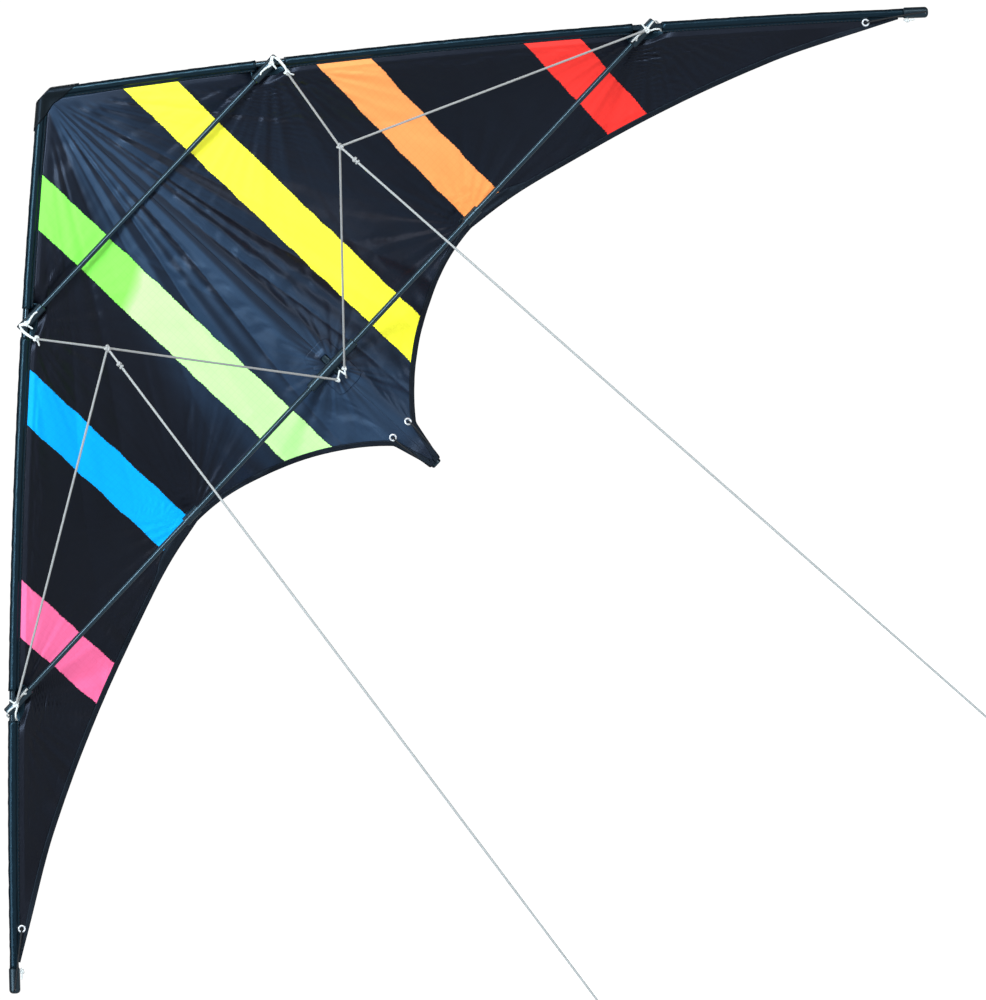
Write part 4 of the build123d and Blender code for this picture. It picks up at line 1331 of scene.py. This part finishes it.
def build_bridle():
    """Outhaul and inhaul: each leg runs straight from its knot on the kite to the tow point."""
    for side, sign in SIDES.items():
        tow = box_centre(f"tow_knot_{side}")
        outer = [outhaul_knot(*knot, sign) for knot in zip(CONNECTORS, (UPPER_KNOT, LOWER_KNOT))]
        inner = [world(*(CENTRE_N[3] if sign > 0 else CENTRE_N[0]))]
        for name, ends in (("outhaul", outer), ("inhaul", inner)):
            paths = [resample([end, tow], LEG_STEP) for end in ends]
            obj = cord(f"{name}_cord_{side}", paths, sides=10, **BRIDLE_CORD)
            attach(obj, f"{name}_{side}")
            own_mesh(obj)


def build_tow_points():
    """Tow-point knots, pigtails and flying lines."""
    joints = {j["name"]: j for j in frame["joints"]}
    for side in SIDES:
        tow = box_centre(f"tow_knot_{side}")
        end = Vector(joints[f"line_spread_{side}"]["pos_m"])
        way = (end - tow).normalized()
        step = way * MM
        knots = [knot_path(tow, 4.6, Vector((0.3, -1, 0.2))), knot_path(tow + step * 1.6, 3.6, way)]
        obj = cord(f"tow_point_knot_{side}", knots, 0.85, GREY_CORD, pitch=4.5)
        attach(obj, f"tow_knot_{side}", f"tow_point_{side}")
        tail = resample([tow + step * 2.0, end + step * 3.5], LEG_STEP)
        obj = cord(f"pigtail_cord_{side}", [tail, knot_path(end, 3.2, way)], **BRIDLE_CORD)
        attach(obj, f"pigtail_{side}", f"pigtail_{side}")
        low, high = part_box(f"flying_line_{side}")
        length = (Vector((low.x if way.x < 0 else high.x, low.y, low.z)) - end).length
        line = resample([end + step * 3.0, end + way * (length - 1.2 * MM)], 0.0012)
        turns = [2 * pi * i / 30 for i in range(31)]
        loop = [moved(end + step * 3.2, 1.3 * sin(a), 1.04 * cos(a), 0) for a in turns]
        obj = cord(f"flying_cord_{side}", [line, loop], 1.0, LINE_CORD, sides=10)
        attach(obj, f"flying_line_{side}", f"line_{side}")


# ---------- materials of the rods and fittings that stay ----------
def dress_frame():
    kept = {ROD: ["spine_rod", "upper_spreader"], VINYL: ["centre_tee", "tail_cap", "spreader_stops"]}
    kept[BRASS] = ["leading_edge_ferrules"]
    for side in SIDES:
        rods = ("leading_edge_rod_upper", "leading_edge_rod_lower", "lower_spreader", "standoff_rod")
        fittings = ("upper_connector", "lower_connector", "tip_cap", "standoff_holder", "standoff_end_cap")
        kept[ROD] += [f"{name}_{side}" for name in rods]
        kept[VINYL] += [f"{name}_{side}" for name in fittings]
    for material, nodes in kept.items():
        for node in nodes:
            for slot in frame["nodes"][node].material_slots:
                slot.link = "OBJECT"
                slot.material = material


# ---------- studio ----------
FLOOR_WHITE = (0.45, 0.45, 0.45)
FLOOR_HALF = 60.0
FLOOR_DROP = 0.25
SKY_LIGHT = 0.09  # strength of the background as a light, and as the camera sees it
SKY_SEEN = 1.05
LIGHTS = {  # place, size, power and colour
    "key": ((-2.4, -1.9, 1.2), (1.6, 2.0), 34.0, (0.86, 0.94, 1.0)),
    "front": ((0.0, -3.3, 1.8), (3.4, 0.9), 130.0, (0.8, 0.92, 1.0)),
    "edge_left": ((-1.5, -2.9, 1.9), (0.5, 0.5), 9.0, (0.75, 0.92, 1.0)),
    "edge_right": ((1.5, -2.9, 1.9), (0.5, 0.5), 9.0, (0.75, 0.92, 1.0)),
    "fill": ((2.3, -1.8, 0.2), (0.9, 1.6), 15.0, (1.0, 0.98, 0.95)),
    "top": ((0.0, -0.3, 2.6), (2.4, 0.8), 10.0, (1, 1, 1)),
    "back": ((0.4, 2.6, 1.2), (2.0, 1.6), 30.0, (1, 1, 1)),
}
LIT_POINT = Vector((0, 0, 0.25))


def build_floor():
    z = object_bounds()[0][2] - FLOOR_DROP
    verts = [(x * FLOOR_HALF, y * FLOOR_HALF, z) for x, y in ((-1, -1), (1, -1), (1, 1), (-1, 1))]
    material, tree, bsdf = shader("studio_floor")
    seen = add(tree, "ShaderNodeLightPath").outputs["Is Camera Ray"]
    look = {"Base Color": (*FLOOR_WHITE, 1), "Roughness": 0.8, "Emission Color": (1, 1, 1, 1)}
    put(tree, bsdf, {**look, "Emission Strength": seen})
    new_object("floor", verts, [(0, 1, 2, 3)], material, smooth_faces=False)


def build_lights():
    studio = bpy.data.worlds.new("studio")
    bpy.context.scene.world = studio
    studio.use_nodes = True
    tree = studio.node_tree
    seen = add(tree, "ShaderNodeLightPath").outputs["Is Camera Ray"]
    amount = add(tree, "ShaderNodeMapRange", **{"Value": seen, "To Min": SKY_LIGHT, "To Max": SKY_SEEN})
    put(tree, tree.nodes["Background"], {"Strength": amount.outputs[0], "Color": (1, 1, 1, 1)})
    for name, (where, size, power, colour) in LIGHTS.items():
        data = bpy.data.lights.new(name, "AREA")
        data.shape = "RECTANGLE"
        data.size, data.size_y = size
        data.energy = power
        data.color = colour
        light = bpy.data.objects.new(name, data)
        light.location = where
        light.rotation_euler = (LIT_POINT - Vector(where)).to_track_quat("-Z", "Y").to_euler()
        bpy.context.scene.collection.objects.link(light)


# The camera looks at the front of the kite, a little from its left and above, and is turned
# so that the nose points to the upper left of the picture.
VIEW_AZIMUTH = 3.0
VIEW_ELEVATION = 4.0
VIEW_ROLL = -46.87
VIEW_DISTANCE = 4.0
VIEW_TARGET = (10.3, 0.0, -186.3)
SENSOR = 36.0
LENS = 161.82


def build_camera():
    azimuth, elevation, roll = (radians(v) for v in (VIEW_AZIMUTH, VIEW_ELEVATION, VIEW_ROLL))
    flat = cos(elevation)
    way = Vector((sin(azimuth) * flat, cos(azimuth) * flat, -sin(elevation)))
    level = way.cross(Vector((0, 0, 1))).normalized()
    upright = level.cross(way)
    right = level * cos(roll) + upright * sin(roll)
    up = upright * cos(roll) - level * sin(roll)
    data = bpy.data.cameras.new("camera")
    data.sensor_width = SENSOR
    data.lens = LENS
    data.clip_end = 200.0
    camera = bpy.data.objects.new("camera", data)
    turn = Matrix((right, up, -way)).transposed()
    camera.matrix_world = Matrix.Translation(world(*VIEW_TARGET) - way * VIEW_DISTANCE) @ turn.to_4x4()
    bpy.context.scene.collection.objects.link(camera)
    bpy.context.scene.camera = camera


def build_kite():
    for sign in SIDES.values():
        simulate_slack(sign)
    build_sail()
    build_sleeves()
    build_hems()
    build_patches()
    build_stitching()
    build_nose()
    build_spine_pocket()
    build_eyelets()
    build_tension_cords()
    build_anchor_knots()
    build_bridle()
    build_tow_points()
    dress_frame()


build_kite()
build_floor()
build_lights()
build_camera()
bpy.context.scene.view_settings.view_transform = "Standard"
